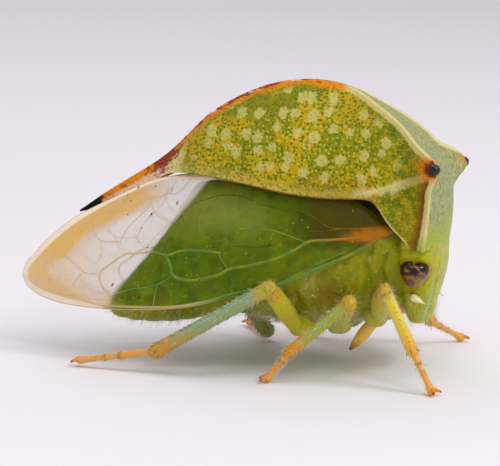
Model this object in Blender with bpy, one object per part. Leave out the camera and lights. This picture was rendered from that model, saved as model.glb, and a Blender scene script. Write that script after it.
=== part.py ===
"""Buffalo treehopper, a still life-size model: a horned shield over a green body, glassy wings and six legs.

Units: the sizes below are millimetres and MM turns them into metres. +X is the way the insect faces,
+Y its left side and +Z up. The body is drawn upright and then rolled a little to its left, as a living
insect on uneven feet stands. The legs are drawn in the floor's own frame, with the floor at zero.
"""

import math

import bmesh
import bpy
import numpy as np
from mathutils import Vector

MM = 0.001
GAP = 0.3
SIDES = {"right": -1.0, "left": 1.0}

# How the body sits over the feet, and how far the drawing moves to be centred on its own box.
BODY_ROLL = math.radians(7.6)
ROLL_AXIS_HEIGHT = 2.2
CENTRE_SHIFT = (0.2, -0.24)

# The shield (pronotum), from the rear towards the head. Each station joins the top line, the ridge
# that runs out to the horn, and the lower edge: (keel x, z), (ridge x, y, z), (edge x, y, z), side swell.
SHIELD_STATIONS = [
    ((-1.75, 4.68), (-1.75, 0.07, 4.66), (-1.75, 0.60, 4.15), 0.04),
    ((-0.90, 5.54), (-0.90, 0.10, 5.51), (-0.95, 1.02, 4.13), 0.16),
    ((0.20, 6.11), (0.20, 0.12, 6.08), (0.10, 1.32, 3.97), 0.24),
    ((1.20, 6.30), (1.15, 0.14, 6.27), (1.05, 1.50, 3.81), 0.26),
    ((2.08, 6.14), (2.06, 0.16, 6.11), (1.85, 1.59, 3.74), 0.22),
    ((2.80, 5.76), (2.72, 0.64, 5.74), (2.45, 1.65, 3.75), 0.16),
    ((3.48, 5.25), (3.42, 1.20, 5.26), (2.90, 1.69, 3.74), 0.08),
    ((4.02, 4.76), (3.96, 1.66, 4.86), (3.12, 1.73, 3.58), 0.0),
    ((4.32, 4.36), (4.17, 1.90, 4.52), (3.26, 1.74, 3.38), 0.0),
    ((4.35, 3.90), (4.20, 1.82, 3.95), (3.42, 1.73, 3.18), 0.0),
    ((4.31, 3.36), (4.15, 1.74, 3.38), (3.58, 1.69, 3.01), 0.0),
    ((4.27, 2.84), (4.05, 1.60, 2.82), (3.76, 1.62, 2.84), 0.0),
]
SHIELD_RINGS = 34
TOP_STEPS = 4
SIDE_STEPS = 6

# The rear spine of the shield: keel x, z, half width, depth.
SPINE_STATIONS = [
    (-2.05, 4.39, 0.46, 0.46),
    (-2.60, 4.02, 0.34, 0.42),
    (-3.20, 3.64, 0.25, 0.34),
    (-3.65, 3.36, 0.17, 0.24),
    (-3.94, 3.20, 0.07, 0.10),
]

# The horns: tip, the way they point, length, radii at root and tip, and the socket cut for the root.
HORN_TIP = (4.45, 2.5, 4.48)
HORN_WAY = (0.42, 0.90, -0.05)
HORN_LENGTH = 0.64
HORN_ROOT_RADIUS = 0.42
HORN_TIP_RADIUS = 0.10
HORN_SOCKET_RADIUS = 0.56

# The head, from the mouth up to the shield: height, front x, rear x, half width.
HEAD_STATIONS = [
    (1.12, 3.98, 3.62, 0.26),
    (1.30, 4.05, 3.56, 0.46),
    (1.60, 4.14, 3.50, 0.78),
    (1.90, 4.21, 3.47, 1.00),
    (2.20, 4.27, 3.46, 1.08),
    (2.40, 4.30, 3.46, 1.10),
    (2.52, 4.30, 3.50, 1.02),
]
EYE_CENTRE = (3.89, 1.43, 2.21)
EYE_RADIUS = 0.33
ANTENNA_ROOT = (3.83, 1.20, 1.60)
ANTENNA_BEND = (4.02, 1.42, 1.46)
ANTENNA_TIP = (4.24, 1.62, 1.30)
ANTENNA_RADII = (0.20, 0.16, 0.05)
BEAK_ROUTE = [(3.50, 0.96), (3.10, 0.84), (2.75, 0.66), (2.34, 0.37)]
BEAK_RADII = (0.24, 0.25, 0.23, 0.09)

# Thorax and abdomen, from front to rear: x, lowest z, highest z, half width low down, half width high up.
THORAX_STATIONS = [
    (3.14, 1.36, 3.14, 0.80, 0.72),
    (2.90, 1.24, 3.34, 0.98, 0.80),
    (2.30, 1.04, 3.44, 1.08, 0.86),
    (1.60, 0.98, 3.44, 1.10, 0.90),
    (0.95, 1.00, 3.48, 1.06, 0.92),
]
ABDOMEN_STATIONS = [
    (0.65, 1.04, 3.50, 1.02, 0.90),
    (0.00, 1.02, 3.62, 1.02, 0.82),
    (-0.80, 0.90, 3.66, 0.92, 0.62),
    (-1.50, 0.80, 2.94, 0.78, 0.46),
    (-2.20, 0.76, 1.96, 0.60, 0.40),
    (-2.75, 0.82, 1.42, 0.42, 0.30),
    (-3.10, 0.98, 1.20, 0.20, 0.16),
]
TRUNK_SIDES = 20

# A forewing, from its root to its tip: x, lower edge z, upper edge z, lower edge y, upper edge y.
WING_STATIONS = [
    (3.08, 2.88, 3.32, 1.74, 1.56),
    (2.10, 2.46, 3.44, 1.78, 1.52),
    (1.05, 1.93, 3.44, 1.76, 1.46),
    (0.00, 1.55, 3.60, 1.70, 1.30),
    (-1.00, 1.28, 3.78, 1.54, 1.02),
    (-2.00, 1.14, 3.56, 1.31, 0.72),
    (-3.00, 1.09, 3.02, 1.03, 0.56),
    (-4.00, 1.13, 2.78, 0.74, 0.50),
    (-4.60, 1.26, 2.42, 0.60, 0.49),
    (-4.90, 1.38, 2.18, 0.54, 0.49),
    (-5.08, 1.51, 1.98, 0.51, 0.49),
    (-5.16, 1.64, 1.82, 0.50, 0.49),
]
WING_THICKNESS = 0.46
WING_EDGE_THICKNESS = 0.30
WING_CROWN = 0.10
VEIN_HEIGHT = 0.09
VEIN_HALF_WIDTH = 0.035
LONG_VEINS = {0.10: (0.0, 1.0), 0.30: (0.06, 0.94), 0.50: (0.10, 0.94), 0.72: (0.16, 0.94)}
CROSS_VEINS = {0.70: (0.10, 0.50), 0.78: (0.30, 0.90), 0.86: (0.10, 0.72), 0.94: (0.10, 0.95)}
CROSS_HALF_WIDTH = 0.008
WING_COLUMNS = 15
TIP_COLUMNS = (0.965, 0.985)

# The legs in the floor's frame. Each limb is a list of (x, y, z, radius); y is the near side's for
# "right", and the two hind legs stand apart, one stretched back and one drawn in under the belly.
FEMUR_RADII = (0.27, 0.31, 0.27)
TIBIA_RADII = (0.27, 0.25, 0.25)
TARSUS_RADII = (0.24, 0.22, 0.20, 0.17)
LEGS = {
    "front_leg_right": {
        "hip": (3.02, -1.02, 1.28), "knee": (3.35, -1.90, 2.12),
        "ankle": (3.99, -2.20, 0.86), "foot": (4.44, -2.46, 0.13)},
    "front_leg_left": {
        "hip": (3.02, 1.10, 1.08), "knee": (3.30, 2.10, 1.70),
        "ankle": (3.80, 1.98, 0.56), "foot": (4.40, 2.46, 0.13)},
    "middle_leg_right": {
        "hip": (2.10, -1.06, 1.02), "knee": (2.57, -1.90, 1.80),
        "ankle": (1.26, -2.00, 0.67), "foot": (0.80, -2.12, 0.13)},
    "middle_leg_left": {
        "hip": (2.10, 1.18, 0.80), "knee": (2.55, 2.14, 1.48),
        "ankle": (1.40, 2.08, 0.52), "foot": (0.90, 2.28, 0.13)},
    "hind_leg_right": {
        "hip": (1.30, -1.20, 0.98), "knee": (0.86, -2.12, 2.10),
        "ankle": (-1.76, -1.78, 0.50), "foot": (-3.52, -1.60, 0.14)},
    "hind_leg_left": {
        "hip": (1.25, 1.30, 0.72), "knee": (-1.20, 2.10, 1.58),
        "ankle": (0.06, 1.66, 0.26), "foot": (-0.62, 2.92, 0.14)},
}
CLAW_LENGTH = 0.30
CLAW_SPREAD = 0.55
CLAW_RADII = (0.15, 0.06)
LIMB_RESOLUTION = 2

COLOURS = {
    "shield": (0.30, 0.38, 0.05, 0.42),
    "spine": (0.42, 0.14, 0.03, 0.40),
    "horn": (0.16, 0.03, 0.015, 0.25),
    "head": (0.34, 0.46, 0.06, 0.35),
    "eye": (0.30, 0.22, 0.10, 0.12),
    "feeler": (0.70, 0.70, 0.35, 0.45),
    "beak": (0.45, 0.20, 0.05, 0.35),
    "body": (0.24, 0.40, 0.04, 0.42),
    "wing": (0.46, 0.58, 0.26, 0.20),
    "leg": (0.50, 0.42, 0.06, 0.40),
}


def clear_scene():
    """Removes every object that the new file holds."""
    for thing in list(bpy.data.objects):
        bpy.data.objects.remove(thing, do_unlink=True)


def new_collection(name):
    """Adds a collection to the scene."""
    made = bpy.data.collections.new(name)
    bpy.context.scene.collection.children.link(made)
    return made


def material(name):
    """Makes the Principled material of one kind of part."""
    red, green, blue, roughness = COLOURS[name]
    made = bpy.data.materials.new(name)
    made.use_nodes = True
    shader = made.node_tree.nodes["Principled BSDF"]
    shader.inputs["Base Color"].default_value = (red, green, blue, 1.0)
    shader.inputs["Roughness"].default_value = roughness
    shader.inputs["Metallic"].default_value = 0.0
    return made


def glide(rows, place):
    """Reads a smooth curve through rows of numbers, at a place counted in rows."""
    table = np.array(rows, float)
    last = len(table) - 1
    low = min(int(place), last - 1)
    part = place - low
    slopes = np.gradient(table, axis=0)
    square, cube = part * part, part * part * part
    return (table[low] * (2 * cube - 3 * square + 1) + slopes[low] * (cube - 2 * square + part)
            + table[low + 1] * (3 * square - 2 * cube) + slopes[low + 1] * (cube - square))


def glide_at(rows, x):
    """Reads the same curve where its first number, which only grows or only falls, is x."""
    firsts = [row[0] for row in rows]
    order = np.argsort(firsts)
    place = float(np.interp(x, np.array(firsts)[order], np.arange(len(rows))[order]))
    return glide(rows, place)


def mesh_object(name, bm, kind, home):
    """Turns a bmesh drawn in millimetres into an object in metres."""
    bmesh.ops.recalc_face_normals(bm, faces=bm.faces)
    for vertex in bm.verts:
        vertex.co *= MM
    mesh = bpy.data.meshes.new(name)
    bm.to_mesh(mesh)
    bm.free()
    mesh.materials.append(kind)
    mesh.shade_smooth()
    mesh.set_sharp_from_angle(angle=math.radians(40))
    made = bpy.data.objects.new(name, mesh)
    home.objects.link(made)
    return made


def loft(name, rings, kind, home):
    """Joins closed rings of points in order, with a fan over each end."""
    bm = bmesh.new()
    rows = [[bm.verts.new(point) for point in ring] for ring in rings]
    for row, following in zip(rows, rows[1:]):
        for k, vertex in enumerate(row):
            beside = (k + 1) % len(row)
            bm.faces.new((vertex, row[beside], following[beside], following[k]))
    for row in (rows[0], rows[-1]):
        middle = bm.verts.new(np.mean([vertex.co for vertex in row], axis=0))
        for k, vertex in enumerate(row):
            bm.faces.new((vertex, row[(k + 1) % len(row)], middle))
    bmesh.ops.triangulate(bm, faces=bm.faces, quad_method="BEAUTY")
    return mesh_object(name, bm, kind, home)


def plain_mesh(thing):
    """Replaces an object by a plain mesh of its evaluated shape, with loose caps welded."""
    bpy.context.view_layer.update()
    shown = thing.evaluated_get(bpy.context.evaluated_depsgraph_get())
    mesh = bpy.data.meshes.new_from_object(shown)
    bm = bmesh.new()
    bm.from_mesh(mesh)
    bmesh.ops.remove_doubles(bm, verts=bm.verts, dist=1e-7)
    bmesh.ops.recalc_face_normals(bm, faces=bm.faces)
    bm.to_mesh(mesh)
    bm.free()
    made = bpy.data.objects.new(thing.name + "_mesh", mesh)
    made.matrix_world = thing.matrix_world
    for home in thing.users_collection:
        home.objects.link(made)
    name = thing.name
    bpy.data.objects.remove(thing, do_unlink=True)
    made.name = name
    return made


def tube(name, points, radii, kind, home):
    """Makes a tapering tube along a few points, as a plain mesh."""
    curve = bpy.data.curves.new(name, "CURVE")
    curve.dimensions = "3D"
    curve.bevel_depth = MM
    curve.bevel_resolution = LIMB_RESOLUTION
    curve.use_fill_caps = True
    line = curve.splines.new("POLY")
    line.points.add(len(points) - 1)
    for spot, point, radius in zip(line.points, points, radii):
        spot.co = (point[0] * MM, point[1] * MM, point[2] * MM, 1.0)
        spot.radius = radius
    curve.materials.append(kind)
    made = bpy.data.objects.new(name, curve)
    home.objects.link(made)
    return plain_mesh(made)


def combine(thing, other, operation):
    """Joins or cuts two closed meshes and keeps the result in the first."""
    step = thing.modifiers.new(operation.lower(), "BOOLEAN")
    step.operation = operation
    step.solver = "EXACT"
    step.object = other
    made = plain_mesh(thing)
    bpy.data.objects.remove(other, do_unlink=True)
    return made


def fuse(name, pieces, home):
    """Joins closed pieces into one body with one union, and names it."""
    first, rest = pieces[0], pieces[1:]
    gathered = new_collection(name + "_pieces")
    for piece in rest:
        gathered.objects.link(piece)
    step = first.modifiers.new("union", "BOOLEAN")
    step.operation = "UNION"
    step.solver = "EXACT"
    step.operand_type = "COLLECTION"
    step.collection = gathered
    made = plain_mesh(first)
    for piece in rest:
        bpy.data.objects.remove(piece, do_unlink=True)
    bpy.data.collections.remove(gathered)
    made.name = name
    keep_largest(made)
    return made


def keep_largest(thing):
    """Drops every closed surface of a mesh but the largest."""
    bm = bmesh.new()
    bm.from_mesh(thing.data)
    unseen = set(bm.verts)
    groups = []
    while unseen:
        front = [unseen.pop()]
        group = set(front)
        while front:
            for edge in front.pop().link_edges:
                for vertex in edge.verts:
                    if vertex in unseen:
                        unseen.discard(vertex)
                        group.add(vertex)
                        front.append(vertex)
        groups.append(group)
    largest = max(groups, key=len)
    bmesh.ops.delete(bm, geom=[v for v in bm.verts if v not in largest], context="VERTS")
    bm.to_mesh(thing.data)
    bm.free()


def cut_flat(thing, point, outward):
    """Cuts away what lies beyond a plane, given in metres, and closes the cut with a flat face."""
    bm = bmesh.new()
    bm.from_mesh(thing.data)
    everything = list(bm.verts) + list(bm.edges) + list(bm.faces)
    bmesh.ops.bisect_plane(bm, geom=everything, dist=1e-8, plane_co=point, plane_no=outward, clear_outer=True)
    rim = [edge for edge in bm.edges if edge.is_boundary]
    bmesh.ops.holes_fill(bm, edges=rim, sides=0)
    bmesh.ops.recalc_face_normals(bm, faces=bm.faces)
    bm.to_mesh(thing.data)
    bm.free()


def shield_ring(place):
    """Gives one ring of the shield: left edge, left ridge, keel, right ridge, right edge, underside."""
    rows = [(*keel, *ridge, *edge, swell) for keel, ridge, edge, swell in SHIELD_STATIONS]
    keel_x, keel_z, ridge_x, ridge_y, ridge_z, edge_x, edge_y, edge_z, swell = glide(rows, place)
    half = []
    for step in range(TOP_STEPS + 1):
        part = step / TOP_STEPS
        bend = part * part
        half.append((keel_x + (ridge_x - keel_x) * bend, ridge_y * part, keel_z + (ridge_z - keel_z) * bend))
    for step in range(1, SIDE_STEPS + 1):
        part = step / SIDE_STEPS
        out = swell * math.sin(math.pi * part)
        half.append((ridge_x + (edge_x - ridge_x) * part, ridge_y + (edge_y - ridge_y) * part + out,
                     ridge_z + (edge_z - ridge_z) * part))
    right = [(x, -y, z) for x, y, z in half]
    return right[:0:-1] + half + [(edge_x, 0.0, edge_z)]


def body_point(x, y, z):
    """Places a point of the upright body in the rolling frame, whose axis is its origin."""
    return (x, y, z - ROLL_AXIS_HEIGHT)


def make_shield(kind, home, cutters):
    """Makes the shield, with a flat socket at each horn."""
    places = np.linspace(0.0, len(SHIELD_STATIONS) - 1.0, SHIELD_RINGS)
    rings = [[body_point(*point) for point in shield_ring(place)] for place in places]
    shield = loft("pronotum", rings, kind, home)
    for sign in SIDES.values():
        root, way = horn_root(sign)
        seat = root - way * GAP
        bpy.ops.mesh.primitive_cylinder_add(vertices=24, radius=HORN_SOCKET_RADIUS * MM, depth=HORN_LENGTH * 3 * MM)
        cutter = bpy.context.object
        cutter.name = "horn_socket_cutter"
        cutter.rotation_mode = "QUATERNION"
        cutter.rotation_quaternion = way.to_track_quat("Z", "Y")
        cutter.location = (seat + way * HORN_LENGTH * 1.5) * MM
        move_home(cutter, cutters)
        shield = combine(shield, cutter, "DIFFERENCE")
    keep_largest(shield)
    return shield


def move_home(thing, home):
    """Puts a new primitive in one collection only, marked as a cutter that is never drawn."""
    for old in list(thing.users_collection):
        old.objects.unlink(thing)
    home.objects.link(thing)
    thing.hide_render = True
    thing.display_type = "WIRE"


def horn_root(sign):
    """Gives the middle of a horn's root and the way it points, on one side."""
    way = Vector((HORN_WAY[0], HORN_WAY[1] * sign, HORN_WAY[2])).normalized()
    tip = Vector(body_point(HORN_TIP[0], HORN_TIP[1] * sign, HORN_TIP[2]))
    return tip - way * HORN_LENGTH, way


def make_horn(side, kind, home):
    """Makes one blunt, pointed horn, its flat root facing the shield."""
    root, way = horn_root(SIDES[side])
    across = way.orthogonal().normalized()
    over = way.cross(across)
    rings = []
    for step in range(6):
        part = step / 5
        shrink = (1.0 - part) ** 0.8
        radius = HORN_TIP_RADIUS + (HORN_ROOT_RADIUS - HORN_TIP_RADIUS) * shrink
        middle = root + way * HORN_LENGTH * part
        rings.append([middle + (across * math.cos(turn) + over * math.sin(turn)) * radius
                      for turn in np.linspace(0.0, 2 * math.pi, 16, endpoint=False)])
    return loft("horn_" + side, rings, kind, home)


def make_spine(kind, home):
    """Makes the spine that the shield runs back into: a roof over a rounded underside."""
    rings = []
    for place in np.linspace(0.0, len(SPINE_STATIONS) - 1.0, 12):
        x, top, half_width, depth = glide(SPINE_STATIONS, place)
        ring = []
        for turn in np.linspace(0.0, 2 * math.pi, 12, endpoint=False):
            across, up = math.sin(turn), math.cos(turn)
            lift = up if up > 0 else up * 0.8
            ring.append(body_point(x, half_width * across * (1.0 - 0.45 * max(up, 0.0)), top - depth / 2 * (1 - lift)))
        rings.append(ring)
    return loft("pronotum_spine", rings, kind, home)


def make_head(kind, home):
    """Makes the head as level rings: a flat-backed wedge, broad at the eyes and narrow at the mouth."""
    rings = []
    for place in np.linspace(0.0, len(HEAD_STATIONS) - 1.0, 13):
        z, front, rear, half_width = glide(HEAD_STATIONS, place)
        middle, reach = (front + rear) / 2, (front - rear) / 2
        ring = []
        for turn in np.linspace(0.0, 2 * math.pi, 20, endpoint=False):
            along, across = math.cos(turn), math.sin(turn)
            ring.append(body_point(middle + reach * math.copysign(abs(along) ** 0.8, along),
                                   half_width * math.copysign(abs(across) ** 0.85, across), z))
        rings.append(ring)
    return loft("head", rings, kind, home)


def make_eye(side, kind, home):
    """Makes one eye: a dome whose flat inner face looks at the head."""
    sign = SIDES[side]
    bpy.ops.mesh.primitive_uv_sphere_add(segments=20, ring_count=12, radius=EYE_RADIUS * MM)
    ball = bpy.context.object
    move_home(ball, home)
    ball.hide_render = False
    ball.display_type = "TEXTURED"
    ball.name = "eye_" + side
    centre = Vector(body_point(EYE_CENTRE[0], EYE_CENTRE[1] * sign, EYE_CENTRE[2])) * MM
    for vertex in ball.data.vertices:
        vertex.co += centre
    cut_flat(ball, centre, (0.0, -sign, 0.0))
    ball.data.materials.append(kind)
    ball.data.shade_smooth()
    return ball


def make_antenna(side, kind, home):
    """Makes one short feeler: a thick root and a bristle."""
    sign = SIDES[side]
    points = [body_point(x, y * sign, z) for x, y, z in (ANTENNA_ROOT, ANTENNA_BEND, ANTENNA_TIP)]
    return tube("antenna_" + side, points, ANTENNA_RADII, kind, home)


def make_beak(kind, home):
    """Makes the sucking beak, which lies back under the chest."""
    points = [body_point(x, 0.0, z) for x, z in BEAK_ROUTE]
    return tube("beak", points, BEAK_RADII, kind, home)


def trunk_ring(x, low, high, low_width, high_width):
    """Gives one ring of thorax or abdomen, fuller below than above."""
    ring = []
    for turn in np.linspace(0.0, 2 * math.pi, TRUNK_SIDES, endpoint=False):
        across, up = math.sin(turn), -math.cos(turn)
        rise = 0.5 + 0.5 * math.copysign(abs(up) ** 0.75, up)
        width = low_width + (high_width - low_width) * rise
        ring.append(body_point(x, width * math.copysign(abs(across) ** 0.8, across), low + (high - low) * rise))
    return ring


def make_trunk(name, stations, count, kind, home):
    """Makes the thorax or the abdomen from its stations."""
    places = np.linspace(0.0, len(stations) - 1.0, count)
    rings = [trunk_ring(*glide(stations, place)) for place in places]
    return loft(name, rings, kind, home)


def vein_rows():
    """Lists the places across the wing where points are needed: three for each long vein, and the rest even."""
    rows = {0.0, 0.20, 0.40, 0.61, 0.86, 1.0}
    for place in LONG_VEINS:
        rows.update((place - VEIN_HALF_WIDTH, place, place + VEIN_HALF_WIDTH))
    return sorted(rows)


def vein_columns():
    """Lists the places along the wing where points are needed."""
    columns = set(np.round(np.linspace(0.0, 1.0, WING_COLUMNS), 3))
    columns.update(TIP_COLUMNS)
    for place in CROSS_VEINS:
        columns.update((place - 2 * CROSS_HALF_WIDTH, place, place + 2 * CROSS_HALF_WIDTH))
    kept = []
    for place in sorted(columns):
        if not kept or place - kept[-1] > CROSS_HALF_WIDTH * 1.2:
            kept.append(place)
    return kept


def vein_lift(along, across):
    """Tells how far a vein raises the wing at one of its grid points."""
    for place, (start, end) in LONG_VEINS.items():
        if abs(across - place) < 1e-6 and start <= along <= end:
            return VEIN_HEIGHT
    for place, (start, end) in CROSS_VEINS.items():
        if abs(along - place) < 1e-6 and start <= across <= end:
            return VEIN_HEIGHT
    return 0.0


def wing_point(along, across):
    """Gives a point of the wing's outer face and the thickness there, on the left side."""
    root_x, tip_x = WING_STATIONS[0][0], WING_STATIONS[-1][0]
    x, low, high, low_y, high_y = glide_at(WING_STATIONS, root_x + (tip_x - root_x) * along)
    crown = WING_CROWN * 4 * across * (1 - across)
    edge = min(across, 1 - across, along * 3, (1 - along) * 3)
    thickness = WING_EDGE_THICKNESS + (WING_THICKNESS - WING_EDGE_THICKNESS) * min(1.0, edge * 5)
    return (x, low_y + (high_y - low_y) * across + crown, low + (high - low) * across), thickness


def make_wing(side, kind, home):
    """Makes one forewing: a thin curved leaf with its veins raised on the outer face."""
    sign = SIDES[side]
    rows, columns = vein_rows(), vein_columns()
    bm = bmesh.new()
    faces = {"outer": [], "inner": []}
    for along in columns:
        outer, inner = [], []
        for across in rows:
            (x, y, z), thickness = wing_point(along, across)
            lift = vein_lift(along, across)
            outer.append(bm.verts.new(body_point(x, (y + lift) * sign, z)))
            inner.append(bm.verts.new(body_point(x, (y - thickness) * sign, z)))
        faces["outer"].append(outer)
        faces["inner"].append(inner)
    for grid in faces.values():
        for column, following in zip(grid, grid[1:]):
            for k in range(len(rows) - 1):
                bm.faces.new((column[k], column[k + 1], following[k + 1]))
                bm.faces.new((column[k], following[k + 1], following[k]))
    outer, inner = faces["outer"], faces["inner"]
    for edge in (0, -1):
        for k in range(len(columns) - 1):
            bm.faces.new((outer[k][edge], outer[k + 1][edge], inner[k + 1][edge], inner[k][edge]))
        for k in range(len(rows) - 1):
            bm.faces.new((outer[edge][k], outer[edge][k + 1], inner[edge][k + 1], inner[edge][k]))
    bmesh.ops.triangulate(bm, faces=[face for face in bm.faces if len(face.verts) > 3])
    return mesh_object("forewing_" + side, bm, kind, home)


def limb(name, start, end, radii, kind, home, sag=0.0):
    """Makes one straight or slightly bowed stretch of a leg, from joint to joint."""
    start, end = Vector(start), Vector(end)
    points = []
    for k in range(len(radii)):
        part = k / (len(radii) - 1)
        points.append(start.lerp(end, part) + Vector((0.0, 0.0, sag * math.sin(math.pi * part))))
    return tube(name, points, radii, kind, home)


def make_leg(name, joints, kind, home):
    """Makes one leg: thigh, shin and foot with two claws, fused, and cut level with the floor."""
    hip, knee, ankle, foot = (Vector(joints[key]) for key in ("hip", "knee", "ankle", "foot"))
    thigh = (knee - hip).normalized()
    shin = (ankle - knee).normalized()
    tread = (foot - ankle).normalized()
    pieces = [
        limb("thigh", hip, knee + thigh * 0.12, FEMUR_RADII, kind, home),
        limb("shin", knee - shin * 0.12, ankle + shin * 0.08, TIBIA_RADII, kind, home),
        limb("tread", ankle - tread * 0.05, foot, TARSUS_RADII, kind, home, sag=-0.03),
    ]
    ahead = Vector((tread.x, tread.y, 0.0)).normalized()
    aside = Vector((-ahead.y, ahead.x, 0.0))
    for sign in SIDES.values():
        way = (ahead + aside * sign * CLAW_SPREAD).normalized()
        root = foot - ahead * 0.06
        tip = foot + way * CLAW_LENGTH
        tip.z = CLAW_RADII[1]
        pieces.append(limb("claw", root, tip, CLAW_RADII, kind, home))
    leg = fuse(name, pieces, home)
    cut_flat(leg, (0.0, 0.0, 0.0), (0.0, 0.0, -1.0))
    keep_largest(leg)
    return leg


def main():
    """Builds the whole insect."""
    clear_scene()
    home = new_collection("buffalo_treehopper")
    cutters = new_collection("cutters")
    kinds = {name: material(name) for name in COLOURS}

    root = bpy.data.objects.new("treehopper_frame", None)
    root.location = (CENTRE_SHIFT[0] * MM, CENTRE_SHIFT[1] * MM, 0.0)
    body_frame = bpy.data.objects.new("body_frame", None)
    body_frame.location = (0.0, 0.0, ROLL_AXIS_HEIGHT * MM)
    body_frame.rotation_euler = (-BODY_ROLL, 0.0, 0.0)
    body_frame.parent = root
    home.objects.link(root)
    home.objects.link(body_frame)

    on_body = [
        make_shield(kinds["shield"], home, cutters),
        make_spine(kinds["spine"], home),
        make_head(kinds["head"], home),
        make_beak(kinds["beak"], home),
        make_trunk("thorax", THORAX_STATIONS, 10, kinds["body"], home),
        make_trunk("abdomen", ABDOMEN_STATIONS, 16, kinds["body"], home),
    ]
    for side in SIDES:
        on_body += [
            make_horn(side, kinds["horn"], home),
            make_eye(side, kinds["eye"], home),
            make_antenna(side, kinds["feeler"], home),
            make_wing(side, kinds["wing"], home),
        ]
    for piece in on_body:
        piece.parent = body_frame
    for name, joints in LEGS.items():
        make_leg(name, joints, kinds["leg"], home).parent = root
    bpy.context.view_layer.update()


main()
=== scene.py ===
"""Looks of a still, life-size buffalo treehopper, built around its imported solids.

Sizes are millimetres in the insect's own upright drawing and become metres when a piece is placed. The
body is drawn upright and rolled a little over its feet; the legs are drawn in the floor's frame.
"""
import logging
import math
from dataclasses import dataclass, field
from enum import IntEnum
from typing import Callable, Iterable, Sequence

import bpy
import numpy as np
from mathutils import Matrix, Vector


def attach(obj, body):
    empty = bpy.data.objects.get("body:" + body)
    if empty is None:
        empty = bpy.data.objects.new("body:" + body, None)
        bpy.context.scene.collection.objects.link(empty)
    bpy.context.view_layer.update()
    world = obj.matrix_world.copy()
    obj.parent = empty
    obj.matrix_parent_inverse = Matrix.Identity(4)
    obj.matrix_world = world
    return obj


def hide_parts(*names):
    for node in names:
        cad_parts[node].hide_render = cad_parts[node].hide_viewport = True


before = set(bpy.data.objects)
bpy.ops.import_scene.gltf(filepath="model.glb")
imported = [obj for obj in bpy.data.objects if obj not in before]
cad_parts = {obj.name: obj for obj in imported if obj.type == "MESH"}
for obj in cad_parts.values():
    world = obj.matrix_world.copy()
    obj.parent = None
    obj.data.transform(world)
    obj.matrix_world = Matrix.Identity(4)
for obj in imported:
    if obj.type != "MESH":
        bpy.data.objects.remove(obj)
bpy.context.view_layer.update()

log = logging.getLogger("treehopper")

MM = 0.001
BODY_ROLL = math.radians(7.6)
ROLL_AXIS_HEIGHT = 2.2
CENTRE_SHIFT = (0.2, -0.24)
SIDES = {"right": -1.0, "left": 1.0}
COAT_PATCH = 0.003
DOME_TURNS = (0.5, 1.0, 1.5)

Points = np.ndarray
Pieces = list[tuple[bpy.types.Object, list[str], str]]


class Limb(IntEnum):
    """The stretches of a leg, numbered as the leg's own attribute counts them."""

    COXA = 0
    THIGH = 1
    SHIN = 2
    FOOT = 3


def on_body(points: Points) -> Points:
    """Places points of the upright body in the frame.

    Args:
        points: An array whose last axis is x, y, z in millimetres.

    Returns:
        The same points, rolled over the feet, in metres.
    """
    points = np.asarray(points, float)
    x, y, z = points[..., 0], points[..., 1], points[..., 2] - ROLL_AXIS_HEIGHT
    across = y * math.cos(BODY_ROLL) + z * math.sin(BODY_ROLL)
    up = z * math.cos(BODY_ROLL) - y * math.sin(BODY_ROLL) + ROLL_AXIS_HEIGHT
    return on_floor(np.stack([x, across, up], axis=-1))


def on_floor(points: Points) -> Points:
    """Places points drawn in the floor's frame, in millimetres, and returns them in metres."""
    return (np.asarray(points, float) + np.array([*CENTRE_SHIFT, 0.0])) * MM


def glide(rows: Sequence[Sequence[float]], places: Points) -> Points:
    """Reads a smooth curve through rows of numbers.

    Args:
        rows: The numbers at each station.
        places: Where to read, counted in stations.

    Returns:
        One row of numbers for each place.
    """
    table = np.array(rows, float)
    places = np.asarray(places, float)
    low = np.clip(places.astype(int), 0, len(table) - 2)
    part = (places - low)[:, None]
    slopes = np.gradient(table, axis=0)
    square, cube = part ** 2, part ** 3
    return (table[low] * (2 * cube - 3 * square + 1) + slopes[low] * (cube - 2 * square + part)
            + table[low + 1] * (3 * square - 2 * cube) + slopes[low + 1] * (cube - square))


def ease(value: Points, low: float, high: float) -> Points:
    """Rises smoothly from 0 at low to 1 at high."""
    part = np.clip((np.asarray(value, float) - low) / (high - low), 0.0, 1.0)
    return part * part * (3 - 2 * part)


def unit(ways: Points) -> Points:
    """Scales vectors to length 1."""
    return ways / np.maximum(np.linalg.norm(ways, axis=-1, keepdims=True), 1e-12)


def bell(*offsets: Points) -> Points:
    """Gives 1 where all offsets are 0 and fades to 0 about two units away."""
    return np.exp(-sum(offset ** 2 for offset in offsets))


def bump_at(x: Points, z: Points, spot: Sequence[float]) -> Points:
    """Gives a round bump on a side view; the spot holds its x, its z, its width and its height."""
    return bell((x - spot[0]) / spot[2], (z - spot[1]) / spot[3])


def fuller(value: Points, power: float | Points) -> Points:
    """Raises numbers to a power and keeps their signs, which squares a circle when below 1."""
    return np.sign(value) * np.abs(value) ** power


def round_steps(count: int) -> Points:
    """Gives the angles of points spread evenly round a circle."""
    return np.linspace(0, 2 * math.pi, count, endpoint=False)


def mirrored(sign: float) -> Points:
    """Gives what turns a left side's points into those of the side with this sign."""
    return np.array([1.0, sign, 1.0])


def linked(name: str, data: bpy.types.ID) -> bpy.types.Object:
    """Makes an object of a mesh, lamp or camera and links it to the scene."""
    made = bpy.data.objects.new(name, data)
    bpy.context.scene.collection.objects.link(made)
    return made


def write_field(mesh: bpy.types.Mesh, name: str, values: Points) -> None:
    """Writes one number, or one vector, on each point of a mesh."""
    values = np.asarray(values, np.float32)
    kind, key = ("FLOAT", "value") if values.ndim == 1 else ("FLOAT_VECTOR", "vector")
    mesh.attributes.new(name, kind, "POINT").data.foreach_set(key, values.ravel())


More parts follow.
